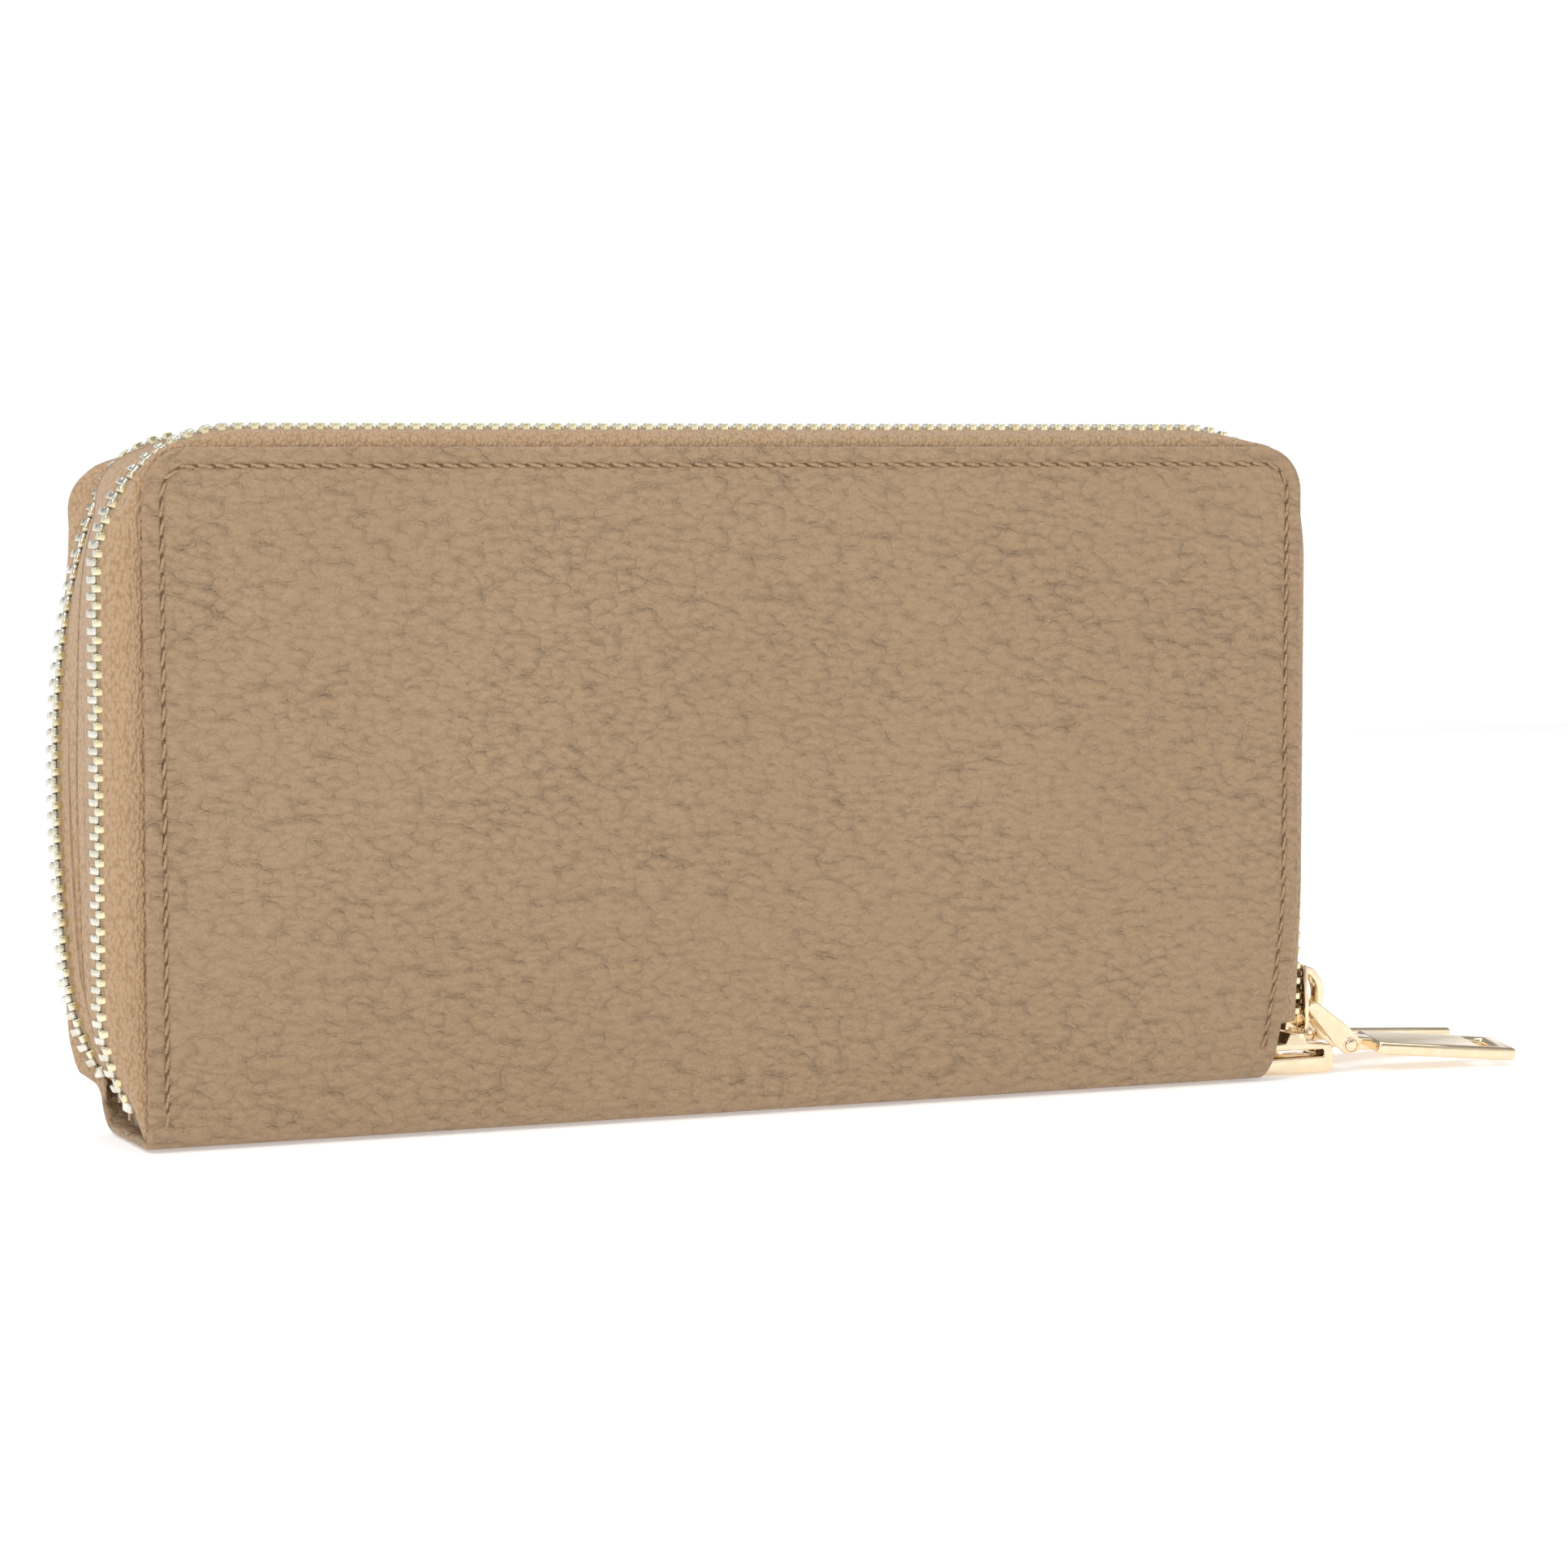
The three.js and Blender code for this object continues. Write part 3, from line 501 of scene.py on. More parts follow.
def leather_skin(side):
    """One skin from a cover's top edge, down its face and under to the middle of the spine."""
    profile = skin_profile(side)
    _, length = resample(profile, np.array([0.0]))
    lines = edge_lines()
    rim = lines[-1]
    face = np.arange(rim + 3.2 * MM, side.top - 6 * MM, 3.2 * MM)
    wrap = np.linspace(side.top - 6 * MM, length, 30)
    downs = np.concatenate([lines, face, wrap])
    middle = np.linspace(-(HALF - rim), HALF - rim, 62)[1:-1]
    xs = np.concatenate([[-HALF + d for d in lines], middle, [HALF - d for d in reversed(lines)]])

    run, _ = resample(profile, downs)
    before, _ = resample(profile, np.maximum(downs - 0.3 * MM, 0))
    after, _ = resample(profile, downs + 0.3 * MM)
    after[-1], before[0] = run[-1], run[0]
    tangent = after - before
    tangent /= np.linalg.norm(tangent, axis=1)[:, None]
    inward = np.column_stack([-tangent[:, 1], tangent[:, 0]])
    if side is rear_side:
        inward = -inward
    half_t = LEATHER / 2

    nx, nd = len(xs), len(downs)
    front = np.zeros((nd, nx, 3))
    back = np.zeros((nd, nx, 3))
    for i, down in enumerate(downs):
        for j, x in enumerate(xs):
            sign = 1 if x > 0 else -1
            cx, cd = HALF - abs(x), down
            px, pd = x, down
            inset = min(cx, cd)
            if cx < COVER_R and cd < COVER_R:
                # squares round the corner's centre become arcs
                ax, ad = COVER_R - cx, COVER_R - cd
                reach = max(ax, ad)
                angle = math.atan2(ad, ax)
                px = sign * (HALF - COVER_R + reach * math.cos(angle))
                pd = COVER_R - reach * math.sin(angle)
                inset = COVER_R - reach
            local, _ = resample(profile, np.array([pd])) if pd != down else (run[i][None], 0)
            y, z = local[0]
            width = cover_half_width(z, sign)
            pull_in = (HALF - width) * smoothstep((abs(px) - 0.55 * HALF) / (0.45 * HALF))
            px -= sign * pull_in
            lift = rim_lift(inset, half_t)
            seam = seam_groove(inset) if down < side.top - 4 * MM else 0.0
            crown = (0.35 * MM * smoothstep((inset - 3.5 * MM) / (22 * MM)) *
                     smoothstep((side.top - pd) / (20 * MM)))
            n = inward[i]
            outer = lift + seam - crown
            inner = LEATHER - lift
            front[i, j] = (px, y + n[0] * outer, z + n[1] * outer)
            back[i, j] = (px, y + n[0] * inner, z + n[1] * inner)
    verts = np.concatenate([front.reshape(-1, 3), back.reshape(-1, 3)])
    faces = grid_faces(nd, nx) + [tuple(reversed(f)) for f in grid_faces(nd, nx, start=nd * nx)]
    last = (nd - 1) * nx
    size = nd * nx
    faces += [(last + j, last + j + 1, size + last + j + 1, size + last + j) for j in range(nx - 1)]
    obj = new_object(f"{side.name}_leather_skin", verts, faces)
    obj.data.materials.append(skin_leather)
    return obj


def rim_lift(inset, radius):
    """How far a rounded rim falls back from the face at a distance in from the edge."""
    if inset >= radius:
        return 0.0
    return radius - math.sqrt(max(radius ** 2 - (radius - inset) ** 2, 0.0))


def seam_groove(inset):
    """Depth of the seam's groove at a distance in from the edge."""
    off = abs(inset - SEAM)
    if off > 1.6 * MM:
        return 0.0
    soft = 0.14 * MM * (1 - smoothstep(off / (1.5 * MM)))
    sharp = 0.26 * MM * (1 - smoothstep(off / (0.42 * MM)))
    return soft + sharp


# ---------------------------------------------------------------- stitches
def seam_line(side, spacing):
    """Points and directions along a cover's seam, in x and v, starting low at the far end."""
    r = COVER_R - SEAM
    x1, top = HALF - SEAM, side.top - SEAM
    low = 1.5 * MM
    points = [(-x1, low), (-x1, top - r)]
    points += arc(-x1 + r, top - r, r, r, math.pi, math.pi / 2, 10)[1:]
    points += arc(x1 - r, top - r, r, r, math.pi / 2, 0, 10)
    z_hinge = side.origin.z
    for i in range(1, 13):
        v = (top - r) + (low - (top - r)) * i / 12
        x = cover_half_width(z_hinge + v, 1) - SEAM
        points.append((x, v))
    points = np.array(points)
    along = np.concatenate([[0], np.cumsum(np.linalg.norm(np.diff(points, axis=0), axis=1))])
    stops = np.arange(spacing / 2, along[-1] - spacing / 2, spacing)
    at = np.column_stack([np.interp(stops, along, points[:, k]) for k in range(2)])
    ahead = np.column_stack([np.interp(stops + 0.3 * MM, along, points[:, k]) for k in range(2)])
    direction = ahead - at
    direction /= np.linalg.norm(direction, axis=1)[:, None]
    return at, direction


def stitch_row(side):
    """Slanted thread stitches that dip into needle holes, each hole a lens dark with painted shade."""
    at, direction = seam_line(side, STITCH_PITCH)
    ring, steps = 8, 8
    radius = 0.27 * MM
    verts, faces, dark = [], [], []
    for (x, v), (dx, dv) in zip(at, direction):
        start = len(verts)
        for i in range(steps + 1):
            t = i / steps * 2 - 1
            length = t * STITCH_PITCH * 0.49
            slant = -t * 0.26 * MM
            arch = 1 - t ** 4
            depth = 0.40 * MM - 0.32 * MM * arch
            swell = radius * (0.55 + 0.45 * math.sqrt(max(1 - t * t, 0)))
            cx, cv = x + dx * length - dv * slant, v + dv * length + dx * slant
            for k in range(ring):
                a = 2 * math.pi * k / ring
                across, rise = math.cos(a) * swell, math.sin(a) * swell * 0.8
                verts.append((cx - dv * across, depth + rise, cv + dx * across))
        count = (steps + 1) * ring
        faces += grid_faces(steps + 1, ring, start, closed_cols=True)
        faces.append(tuple(start + k for k in range(ring)))
        faces.append(tuple(start + count - ring + k for k in reversed(range(ring))))
        dark += [0] * (len(faces) - len(dark))
        # the needle hole at the stitch's end: a shallow lens in the groove, dark with painted shade for the
        # hole's shadow
        start = len(verts)
        hx, hv = x + dx * STITCH_PITCH * 0.5, v + dv * STITCH_PITCH * 0.5
        for size, deep in ((0.12, 0.10), (0.46, 0.15), (0.30, 0.36)):
            for k in range(ring):
                a = 2 * math.pi * k / ring
                along, across = math.cos(a) * size * MM, math.sin(a) * size * 0.55 * MM
                verts.append((hx + dx * along - dv * across, deep * MM, hv + dv * along + dx * across))
        faces += grid_faces(3, ring, start, closed_cols=True)
        faces.append(tuple(start + k for k in range(ring)))
        faces.append(tuple(start + 2 * ring + k for k in reversed(range(ring))))
        dark += [1] * (len(faces) - len(dark))
    obj = new_object(f"{side.name}_cover_stitches", side.place(verts), faces)
    obj.data.materials.append(thread)
    obj.data.materials.append(needle_hole)
    obj.data.polygons.foreach_set("material_index", dark)
    return obj


# ---------------------------------------------------------------- zips
def tape_point(row, share, depth, lift):
    """A point of an outer tape: share runs from the cover's edge (0) to the chain (1)."""
    chain, edge, out = row[:2], row[2:4], row[4:6]
    place = edge + (chain - edge) * share + out * lift
    return place[0], depth, place[1]


def tape_rows(side):
    """The zip's path in the steps that its tapes are made in."""
    return path_at(zip_path(side, 1.2 * MM), TAPE_STEP, 0.0, -0.01 * MM)[0]


def outer_tape(side):
    """The tape from a cover's edge to its chain, one closed strip round the cover."""
    path = tape_rows(side)
    profile = [  # share from edge to chain, depth behind the face, lift outwards
        (0.0, 1.7, -2.0), (0.0, 1.75, -0.7), (0.06, 1.9, 0.25), (0.24, 2.4, 0.75), (0.46, 3.2, 0.85),
        (0.68, 4.2, 0.65), (0.86, 5.2, 0.3), (0.97, 6.1, 0.08), (1.0, 6.9, 0.1), (1.0, 7.35, 0.25),
        (1.0, 7.55, 0.0),
    ]
    low_v = path[0, 1]
    # below its last tooth the tape runs out against the cover's edge
    runout = []
    for share in (0.08, 0.3, 0.55, 0.8):
        row = path[0].copy()
        row[:2] = path[0, 2:4] + (path[0, :2] - path[0, 2:4]) * share
        row[[1, 3]] = low_v - (1 - share) * 3.4 * MM
        runout.append(row)
    path = np.vstack([runout, path])
    sections = []
    for row in path:
        # the tape narrows to a point at the far end's foot
        far_end = row[4] < -0.7
        foot = float(smoothstep((row[1] - low_v + 3.6 * MM) / (4 * MM))) if far_end else 1.0
        width = 0.25 + 0.75 * foot
        puff = 0.0
        if far_end and side is rear_side:
            puff = 2.6 * float(smoothstep((row[1] + 0.6 * MM) / (3 * MM)) *
                               (1 - smoothstep((row[1] - 6 * MM) / (16 * MM))))
        outer, inner = [], []
        for share, depth, lift in profile:
            d = 1.7 + (depth - 1.7) * width
            rise = lift * width + puff * math.sin(math.pi * min(max(share, 0.0), 1.0) ** 0.6)
            outer.append(tape_point(row, share, d * MM, rise * MM))
            inner.append(tape_point(row, share, (d + 0.12) * MM, rise * MM - TAPE_THICK))
        sections.append(side.place(outer + inner[::-1]))
    return capped_sweep(f"{side.name}_outer_zip_tape", sections, tape_weave)


def shoulder(row):
    """How far the soft middle puffs out at the far upper corner."""
    if row[4] > -0.02:
        return 0.0
    turned = math.atan2(row[5], -row[4])
    low = float(smoothstep((row[1] - 60 * MM) / (30 * MM)))
    high = float(smoothstep((row[1] - 92 * MM) / (9 * MM)))
    return (1.0 * low + 2.6 * high) * MM * float(1 - smoothstep((turned - 0.42) / 0.95))


def foot_rows(rows):
    """The rows with three more below the far end, tucked in under the spine's edge."""
    added = []
    room = rows[0, 1] - 0.2 * MM
    for share, tuck in ((1.0, 1.4), (0.66, 0.6), (0.33, 0.2)):
        row = rows[0].copy()
        row[0] -= row[4] * tuck * MM
        row[1] -= share * min(room, 5 * MM)
        added.append(row)
    return np.vstack([added, rows])


def middle_tapes():
    """Both inner tapes and the soft band between them, from chain to chain, in three pieces."""
    front_path, rear_path = tape_rows(front_side), tape_rows(rear_side)
    count = min(len(front_path), len(rear_path))
    t = np.linspace(0, 1, count)

    def even(path):
        s = np.linspace(0, 1, len(path))
        return np.column_stack([np.interp(t, s, path[:, k]) for k in range(path.shape[1])])

    front_rows, rear_rows = foot_rows(even(front_path)), foot_rows(even(rear_path))
    depth0 = CHAIN_DEPTH + 1.0 * MM
    pieces = []
    spans = {"front_inner_zip_tape": (0.0, 0.40), "middle_zip_band": (0.41, 0.59),
             "rear_inner_zip_tape": (1.0, 0.60)}
    for name, (begin, end) in spans.items():
        steps = 8
        sections = []
        for a, b in zip(front_rows, rear_rows):
            pa = front_side.place([(a[0], depth0, a[1])])[0]
            pb = rear_side.place([(b[0], depth0, b[1])])[0]
            out = np.array([(a[4] + b[4]) / 2, 0, (a[5] + b[5]) / 2])
            out /= np.linalg.norm(out)
            outer, inner = [], []
            for i in range(steps + 1):
                w = begin + (end - begin) * i / steps
                near = min(w, 1 - w)
                bead = 0.25 * MM * math.exp(-((near - 0.012) / 0.012) ** 2)
                sink = (-0.55 * MM + shoulder(a)) * math.sin(math.pi * w) ** 0.6
                if name == "middle_zip_band":
                    sink -= 0.12 * MM
                centre = pa + (pb - pa) * w
                outer.append(centre + out * (bead + sink))
                inner.append(centre + out * (sink - TAPE_THICK))
            sections.append(np.array(outer + inner[::-1]))
        pieces.append(capped_sweep(name, sections, tape_weave))
    return pieces


def foot_fold(label, sign):
    """The tapes' turned-in ends, which close the corner between the chains' feet and the spine."""
    sections = []
    for z, inward in ((1.9, 1.2), (3.5, 0.4), (6.0, 0.0), (9.0, 0.5), (12.0, 1.5)):
        outer, inner = [], []
        for k in range(13):
            y = (-10.5 + 1.75 * k) * MM
            x = (94.4 - inward - 0.3 * math.cos(2.1 * k)) * MM
            outer.append((sign * x, y, z * MM))
            inner.append((sign * (x - TAPE_THICK), y, z * MM))
        sections.append(np.array(outer + inner[::-1]))
    obj = capped_sweep(f"{label}_zip_tape_fold", sections, tape_weave)
    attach(obj, "middle")


def tooth_mesh():
    """One tooth at the origin: x along the chain, y across it towards the other row, z outwards."""
    half = 0.98
    head = 0.66
    outline = [(-2.45, -half), (-0.95, -half), (-0.55, -head), (0.5, -head), (0.62, -head * 0.5),
               (0.62, head * 0.5), (0.5, head), (-0.55, head), (-0.95, half), (-2.45, half)]
    bm = bmesh.new()
    width = 0.6
    low = [bm.verts.new((-width, y, z)) for y, z in outline]
    high = [bm.verts.new((width, y, z)) for y, z in outline]
    bm.faces.new(low)
    bm.faces.new(list(reversed(high)))
    for i in range(len(outline)):
        k = (i + 1) % len(outline)
        bm.faces.new((low[i], high[i], high[k], low[k]))
    bmesh.ops.recalc_face_normals(bm, faces=bm.faces)
    rim = [e for e in bm.edges if e.calc_face_angle(0) > 0.6]
    bmesh.ops.bevel(bm, geom=rim, offset=0.2, segments=2, profile=0.5, affect="EDGES", clamp_overlap=True)
    bm.verts.ensure_lookup_table()
    verts = np.array([v.co for v in bm.verts]) * MM
    faces = [tuple(v.index for v in f.verts) for f in bm.faces]
    tail = [int(f.calc_center_median().y < -1.75) for f in bm.faces]
    bm.free()
    return verts, faces, tail


TOOTH = tooth_mesh()


def teeth_row(side, name, inner):
    """A row of separate teeth along the chain; the inner row is half a pitch ahead and faces out."""
    first = 3.2 * MM + (TOOTH_PITCH / 2 if inner else 0)
    rows, tangent = path_at(zip_path(side, 0.6 * MM), TOOTH_PITCH, first, 0.8 * MM)
    base, base_faces, base_tail = TOOTH
    toward = -1 if inner else 1
    verts, faces = [], []
    for row, (tx, tv) in zip(rows, tangent):
        out = np.array((-tv, tx))
        start = len(verts)
        for x, y, z in base:
            px = row[0] + tx * x + out[0] * z
            pv = row[1] + tv * x + out[1] * z
            verts.append((px, CHAIN_DEPTH + toward * y, pv))
        faces += [tuple(start + k for k in f) for f in base_faces]
    obj = new_object(name, side.place(verts), faces)
    obj.data.materials.append(teeth_metal)
    obj.data.materials.append(teeth_gold)
    obj.data.polygons.foreach_set("material_index", base_tail * len(rows))
    obj.data.set_sharp_from_angle(angle=math.radians(50))
    return obj


def end_stop(side):
    """The folded metal stop below the first teeth."""
    path, _ = path_at(zip_path(side, 0.6 * MM), 1.0 * MM, 1.2 * MM, 10 * MM)
    x, v = path[0, :2]
    outline = [(-0.8, -0.9), (0.8, -0.9), (0.8, 0.9), (-0.8, 0.9)]
    bm = bevelled_prism([(a * MM, b * MM) for a, b in outline], -1.9 * MM, 1.9 * MM, 0.4 * MM)
    place = Matrix((
        (1, 0, 0, x), (0, side.u.y, side.v.y, 0), (0, side.u.z, side.v.z, 0), (0, 0, 0, 1)))
    centre = side.place([(0, CHAIN_DEPTH, v)])[0]
    place.translation = Vector((x, centre[1], centre[2]))
    return from_bmesh(f"{side.name}_zip_end_stop", bm, teeth_metal, place)


# ---------------------------------------------------------------- hardware
PLATE_IN, PLATE_OUT = 1.5 * MM, 2.3 * MM
PIN_X, PIN_Z = 3.75 * MM, 3.9 * MM
CROWN_MIDDLE = 5.8 * MM


def basis(origin, x, y, z):
    m = Matrix.Identity(4)
    for k, axis in enumerate((x, y, z)):
        for r in range(3):
            m[r][k] = axis[r]
    m.translation = origin
    return m


def slider(side):
    """Two wing plates joined by a post, with the crown on the outer one."""
    pin = Vector(JOINTS[f"{side.name}_clevis_swing"]["pos_m"])
    x, z = Vector((1, 0, 0)), side.v
    place = basis(pin - x * PIN_X - z * PIN_Z, x, z.cross(x), z)
    wing = [(-2.9, 0), (2.9, 0), (3.2, 1.2), (3.2, 4.4), (2.5, 10.2), (2.0, 11), (-2.0, 11), (-2.5, 10.2),
            (-3.2, 4.4), (-3.2, 1.2)]
    parts = []
    for low in (PLATE_IN, -PLATE_OUT):
        bm = bevelled_prism([(-a * MM, b * MM) for a, b in wing], 0, PLATE_OUT - PLATE_IN, 0.22 * MM)
        bmesh.ops.transform(bm, matrix=Matrix.Rotation(math.radians(-90), 4, "Z"), verts=bm.verts)
        bmesh.ops.translate(bm, verts=bm.verts, vec=(low, 0, 0))
        parts.append(bm)
    post = [(-1.55, 0.2), (1.55, 0.2), (1.55, 2.6), (-1.55, 2.6)]
    parts.append(bevelled_prism([(a * MM, b * MM) for a, b in post], -0.42 * MM, 0.42 * MM, 0.1 * MM, 2))
    parts.append(crown_band())
    return from_bmesh(f"{side.name}_slider_body", join_bmesh(parts), gold, place)


def crown_band():
    """The D-shaped loop on the outer wing: a flat band, thicker at its feet."""
    outer = arc(PLATE_OUT, CROWN_MIDDLE, 4.1 * MM, 4.9 * MM, -math.pi / 2, math.pi / 2, 26)
    inner = arc(PLATE_OUT, CROWN_MIDDLE, 2.75 * MM, 3.55 * MM, math.pi / 2, -math.pi / 2, 26)
    sink = PLATE_OUT - 0.3 * MM
    outline = outer + [(sink, CROWN_MIDDLE + 4.9 * MM), (sink, CROWN_MIDDLE + 3.55 * MM)] + inner
    outline += [(sink, CROWN_MIDDLE - 3.55 * MM), (sink, CROWN_MIDDLE - 4.9 * MM)]
    return bevelled_prism(outline, -1.3 * MM, 1.3 * MM, 0.3 * MM)


def linkage_axes(prefix):
    pin = Vector(JOINTS[f"{prefix}_clevis_swing"]["pos_m"])
    rivet = Vector(JOINTS[f"{prefix}_pull_swing"]["pos_m"])
    across = -Vector(JOINTS[f"{prefix}_clevis_swing"]["axis"]).normalized()
    return pin, rivet, across


def clevis(prefix):
    """Two tapering cheeks with a recess round the rivet, and the pin through the crown."""
    pin, rivet, y = linkage_axes(prefix)
    arm = (rivet - pin).length
    x = (rivet - pin).normalized()
    place = basis(pin, x, y, x.cross(y))
    outline = arc(0, 0, 1.1 * MM, 1.1 * MM, math.pi / 2, math.pi * 1.5, 10)
    outline += [(arm - 2.8 * MM, -1.95 * MM), (arm + 0.5 * MM, -1.8 * MM), (arm + 2.0 * MM, 0.3 * MM),
                (arm + 0.4 * MM, 1.9 * MM), (arm - 2.8 * MM, 1.95 * MM)]
    parts = []
    for low, high in ((2.1 * MM, 3.1 * MM), (-3.1 * MM, -2.1 * MM)):
        parts.append(bevelled_prism(outline, low, high, 0.28 * MM))
        lip = arc(arm, 0, 1.45 * MM, 1.45 * MM, 0, 2 * math.pi, 24)[:-1]
        hole = arc(arm, 0, 1.2 * MM, 1.2 * MM, 2 * math.pi, 0, 24)[:-1]
        face = high if high > 0 else low
        ring = bevelled_prism(lip, min(face, face + math.copysign(0.12 * MM, face)) - 0.01 * MM,
                              max(face, face + math.copysign(0.12 * MM, face)), 0.04 * MM, 1, holes=[hole])
        parts.append(ring)
    rod = arc(0, 0, 0.55 * MM, 0.55 * MM, 0, 2 * math.pi, 20)[:-1]
    parts.append(bevelled_prism(rod, -2.95 * MM, 2.95 * MM, 0.0))
    return from_bmesh(f"{prefix}_clevis_link", join_bmesh(parts), gold, place)


def rivet_piece(prefix):
    pin, rivet, y = linkage_axes(prefix)
    x = (rivet - pin).normalized()
    place = basis(rivet, x, y, x.cross(y))
    seat, head, dome, shaft = 3.14, 1.12, 0.5, 0.6
    profile = [(0, -seat - dome)]
    profile += [(head * math.sin(a), -seat - dome * math.cos(a)) for a in np.linspace(0.3, math.pi / 2, 6)]
    profile += [(shaft, -seat), (shaft, seat)]
    profile += [(head * math.cos(a), seat + dome * math.sin(a)) for a in np.linspace(0, math.pi / 2 - 0.3, 6)]
    profile += [(0, seat + dome)]
    ring = 24
    verts = []
    for r, h in profile[1:-1]:
        turns = [2 * math.pi * k / ring for k in range(ring)]
        verts += [(r * MM * math.cos(a), h * MM, r * MM * math.sin(a)) for a in turns]
    rows = len(profile) - 2
    faces = grid_faces(rows, ring, closed_cols=True)
    verts += [(0, profile[0][1] * MM, 0), (0, profile[-1][1] * MM, 0)]
    tip0, tip1 = rows * ring, rows * ring + 1
    for k in range(ring):
        n = (k + 1) % ring
        faces.append((tip0, n, k))
        faces.append((tip1, (rows - 1) * ring + k, (rows - 1) * ring + n))
    world = [place @ Vector(v) for v in verts]
    obj = new_object(f"{prefix}_rivet_pin", world, faces)
    obj.data.materials.append(gold)
    obj.data.set_sharp_from_angle(angle=math.radians(40))
    return obj


def pull(prefix):
    """A knuckle between the cheeks and a flat plate with round edges and a slot at its tip."""
    _, rivet, y = linkage_axes(prefix)
    node = frame["nodes"][f"{prefix}_pull"]
    centre = sum((v.co for v in node.data.vertices), Vector()) / len(node.data.vertices)
    x = centre - rivet
    x = (x - y * x.dot(y)).normalized()
    place = basis(rivet, x, y, x.cross(y))
    half = 1.1 * MM
    root, tip, wide = 4.3 * MM, 31 * MM, 5 * MM
    knuckle = arc(0, 0, half, half, math.pi / 2, math.pi * 1.5, 10)
    knuckle += [(root + 0.6 * MM, -half), (root + 0.6 * MM, half)]
    parts = [bevelled_prism(knuckle, -1.5 * MM, 1.5 * MM, 0.3 * MM)]
    r = 1.0 * MM
    plate = arc(tip - r, wide - r, r, r, 0, math.pi / 2, 5)
    plate += arc(root + r, wide - r, r, r, math.pi / 2, math.pi, 5)
    plate += arc(root + r, -wide + r, r, r, math.pi, 1.5 * math.pi, 5)
    plate += arc(tip - r, -wide + r, r, r, -math.pi / 2, 0, 5)
    slot_low, slot_high, slot_wide = tip - 6.4 * MM, tip - 3.2 * MM, 3 * MM
    slot = [(slot_low, -slot_wide), (slot_low, slot_wide), (slot_high, slot_wide), (slot_high, -slot_wide)]
    bm = bevelled_prism(plate, -half, half, 0.75 * MM, 5, holes=[slot])
    lay_flat = Matrix.Rotation(math.radians(-90), 4, "X")
    bmesh.ops.transform(bm, matrix=lay_flat, verts=bm.verts)
    parts.append(bm)
    return from_bmesh(f"{prefix}_pull_plate", join_bmesh(parts), gold, place)


def tail_clip(prefix):
    """Two jaws round the free tail's end, with a collar on top."""
    lo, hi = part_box(f"{prefix}_tail_clip")
    x0, x1 = lo.x, hi.x

    def at(back, up):
        return x1 - back * MM, up * MM

    outline = [(x0, 0.0), at(1.0, 0)] + arc(x1 - 1.0 * MM, 1.0 * MM, 1.0 * MM, 1.0 * MM, -math.pi / 2, 0, 6)
    outline += [at(0, 3.7)] + arc(x1 - 1.1 * MM, 3.75 * MM, 1.1 * MM, 1.05 * MM, 0.1, math.pi / 2, 6)
    outline += [at(5.2, 5.2), at(5.8, 7.0), at(8.6, 7.0), at(9.4, 5.3)]
    upper_jaw_top = (5.1 if prefix == "front" else 5.3) * MM
    outline += [(x0, upper_jaw_top), (x0, 4.1 * MM)]
    outline += [at(1.8, 3.9), at(1.8, 2.7), (x0, 2.7 * MM)]
    bm = bevelled_prism(outline, lo.y, hi.y, 0.3 * MM)
    return from_bmesh(f"{prefix}_tail_end_clip", bm, gold)


# ---------------------------------------------------------------- inside
def gusset(side, label, sign):
    """A folded fabric gusset between a cover's lining and the divider beside it."""
    near, far = 3.3 * MM, 12.5 * MM
    low, high = 3 * MM, 86 * MM
    rows, ply = 30, 0.45 * MM
    outer_x, crease_x = 96.5 * MM, 86 * MM
    cols = 14
    sections = []
    for i in range(rows + 1):
        v = low + (high - low) * i / rows
        depth = 1 - 0.35 * (i / rows) ** 2
        outer, inner = [], []
        for k in range(cols + 1):
            t = k / cols
            fold = 1 - abs(2 * t - 1)
            fold = fold - 0.12 * math.sin(math.pi * fold) * (1 - fold)
            wave = 0.25 * MM * math.sin(i * 0.55 + k * 0.4)
            x = outer_x - (outer_x - crease_x) * fold * depth
            u = near + (far - near) * t
            outer.append((sign * x, u + wave * fold, v))
            inner.append((sign * (x + ply), u + wave * fold, v))
        sections.append(side.place(outer + inner[::-1]))
    return capped_sweep(f"{side.name}_{label}_gusset_fabric", sections, lining_weave)


# ---------------------------------------------------------------- build
foot_fold("left", -1)
foot_fold("right", 1)

front_skin = leather_skin(front_side)
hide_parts("front_cover_leather")
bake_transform(front_skin)

rear_skin = leather_skin(rear_side)
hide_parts("rear_cover_leather", "spine_leather")
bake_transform(rear_skin)

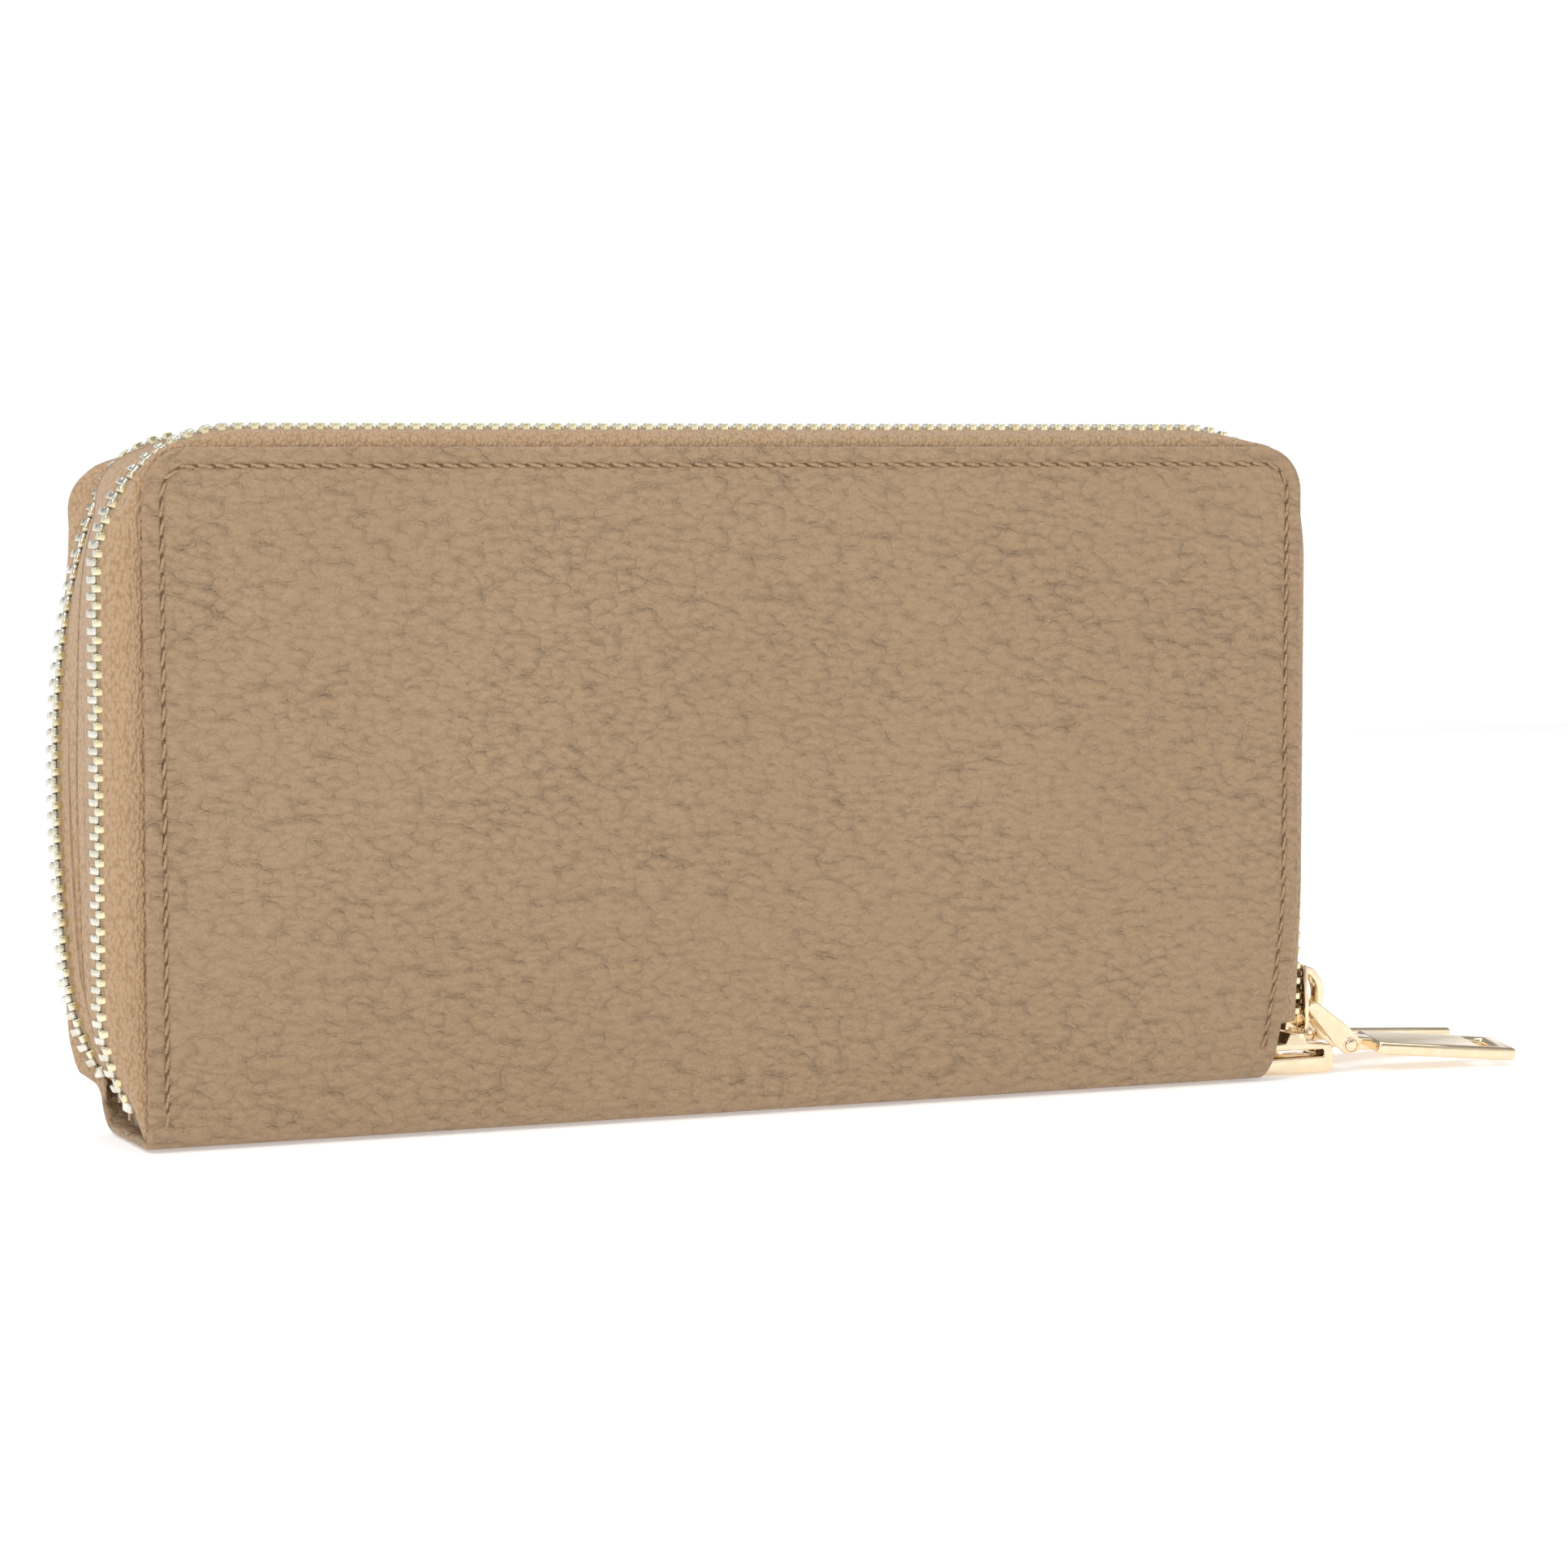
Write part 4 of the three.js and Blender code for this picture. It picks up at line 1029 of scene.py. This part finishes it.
for side in (front_side, rear_side):
    cover = f"{side.name}_cover"
    stitches = stitch_row(side)
    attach(stitches, cover)
    tape = outer_tape(side)
    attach(tape, cover)
    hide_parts(f"{side.name}_outer_tape")
    outer = teeth_row(side, f"{side.name}_outer_tooth_row", False)
    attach(outer, cover)
    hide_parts(f"{side.name}_outer_teeth")
    inner = teeth_row(side, f"{side.name}_inner_tooth_row", True)
    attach(inner, "middle")
    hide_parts(f"{side.name}_inner_teeth")
    stop = end_stop(side)
    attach(stop, "middle")
    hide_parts(f"{side.name}_end_stop")
    for label, sign in (("left", -1), ("right", 1)):
        fold = gusset(side, label, sign)
        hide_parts(f"{side.name}_{label}_gusset")
        cover_end = side.place([(0, 4 * MM, 45 * MM)])[0]
        wall_end = side.place([(0, 12 * MM, 45 * MM)])[0]
        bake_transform(fold)
    pieces = (
        (slider(side), "slider", f"{side.name}_slider"),
        (clevis(side.name), "clevis", f"{side.name}_clevis"),
        (rivet_piece(side.name), "rivet", f"{side.name}_clevis"),
        (pull(side.name), "pull", f"{side.name}_pull"),
        (tail_clip(side.name), "tail_clip", "middle"),
    )
    for obj, node, body in pieces:
        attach(obj, body)
        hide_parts(f"{side.name}_{node}")

front_inner, band, rear_inner = middle_tapes()
for obj, node in ((front_inner, "front_inner_tape"), (band, "middle_band"), (rear_inner, "rear_inner_tape")):
    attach(obj, "middle")
    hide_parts(node)

KEPT = {
    smooth_leather: ["front_divider", "rear_divider", "front_slot_binding", "front_note_pocket",
                     "rear_note_pocket", "rear_slip_pocket",
                     *(f"front_card_pocket_{k}" for k in (1, 2, 3, 4))],
    lining_weave: ["front_cover_lining", "rear_cover_lining"],
    board: ["front_cover_board", "rear_cover_board", "spine_stay"],
}
for material, nodes in KEPT.items():
    for node in nodes:
        mesh = frame["nodes"][node].data
        mesh.materials.clear()
        mesh.materials.append(material)


# ---------------------------------------------------------------- stage, light and camera
def stage():
    bpy.ops.mesh.primitive_plane_add(size=1.6, location=(0, 0, -0.0004))
    floor = bpy.context.object
    floor.name = "studio_floor"
    n = Nodes("pale_floor")
    haze = n.noise(3.0, 2.0)
    floor.data.materials.append(n.set(
        Base_Color=n.ramp(haze, [(0.2, (0.93, 0.93, 0.935, 1)), (0.8, (0.96, 0.96, 0.965, 1))]),
        Roughness=0.7, Specular_IOR_Level=0.1, Emission_Color=(1, 1, 1, 1), Emission_Strength=0.34))
    world = bpy.data.worlds.new("studio")
    bpy.context.scene.world = world
    world.use_nodes = True
    tree = world.node_tree
    background = tree.nodes["Background"]
    direction = tree.nodes.new("ShaderNodeTexCoord").outputs["Generated"]
    height = tree.nodes.new("ShaderNodeSeparateXYZ")
    tree.links.new(direction, height.inputs[0])
    ramp = tree.nodes.new("ShaderNodeValToRGB")
    tree.links.new(height.outputs["Z"], ramp.inputs["Fac"])
    low, high = ramp.color_ramp.elements
    low.position, low.color = 0.16, (1.06, 1.06, 1.06, 1)
    high.position, high.color = 0.45, (0.34, 0.34, 0.35, 1)
    tree.links.new(ramp.outputs["Color"], background.inputs["Color"])
    background.inputs["Strength"].default_value = 1.0


def area_light(name, location, target, size, power, colour=(1, 1, 1)):
    light = bpy.data.lights.new(name, "AREA")
    light.shape = "RECTANGLE"
    light.size, light.size_y = size
    light.energy = power
    light.color = colour
    obj = bpy.data.objects.new(name, light)
    bpy.context.scene.collection.objects.link(obj)
    obj.location = location
    direction = Vector(target) - Vector(location)
    obj.rotation_euler = direction.to_track_quat("-Z", "Y").to_euler()


def camera():
    data = bpy.data.cameras.new("camera")
    data.lens = 103.8
    data.sensor_width = 36
    data.clip_start = 0.01
    obj = bpy.data.objects.new("camera", data)
    bpy.context.scene.collection.objects.link(obj)
    obj.location = (-0.288, front_side.origin.y - 0.658, 0.107)
    obj.rotation_euler = (math.radians(90 - 4.3), 0, math.radians(-24))
    bpy.context.scene.camera = obj


stage()
area_light("key", (-0.75, -0.55, 0.9), (0, 0, 0.05), (0.5, 0.4), 5.0)
area_light("fill", (0.9, -0.6, 0.5), (0, 0, 0.05), (0.8, 0.8), 0.8)
area_light("top", (0.0, 0.1, 1.1), (0, 0, 0.0), (1.6, 1.2), 8.0)
camera()

bpy.context.scene.view_settings.view_transform = "Standard"
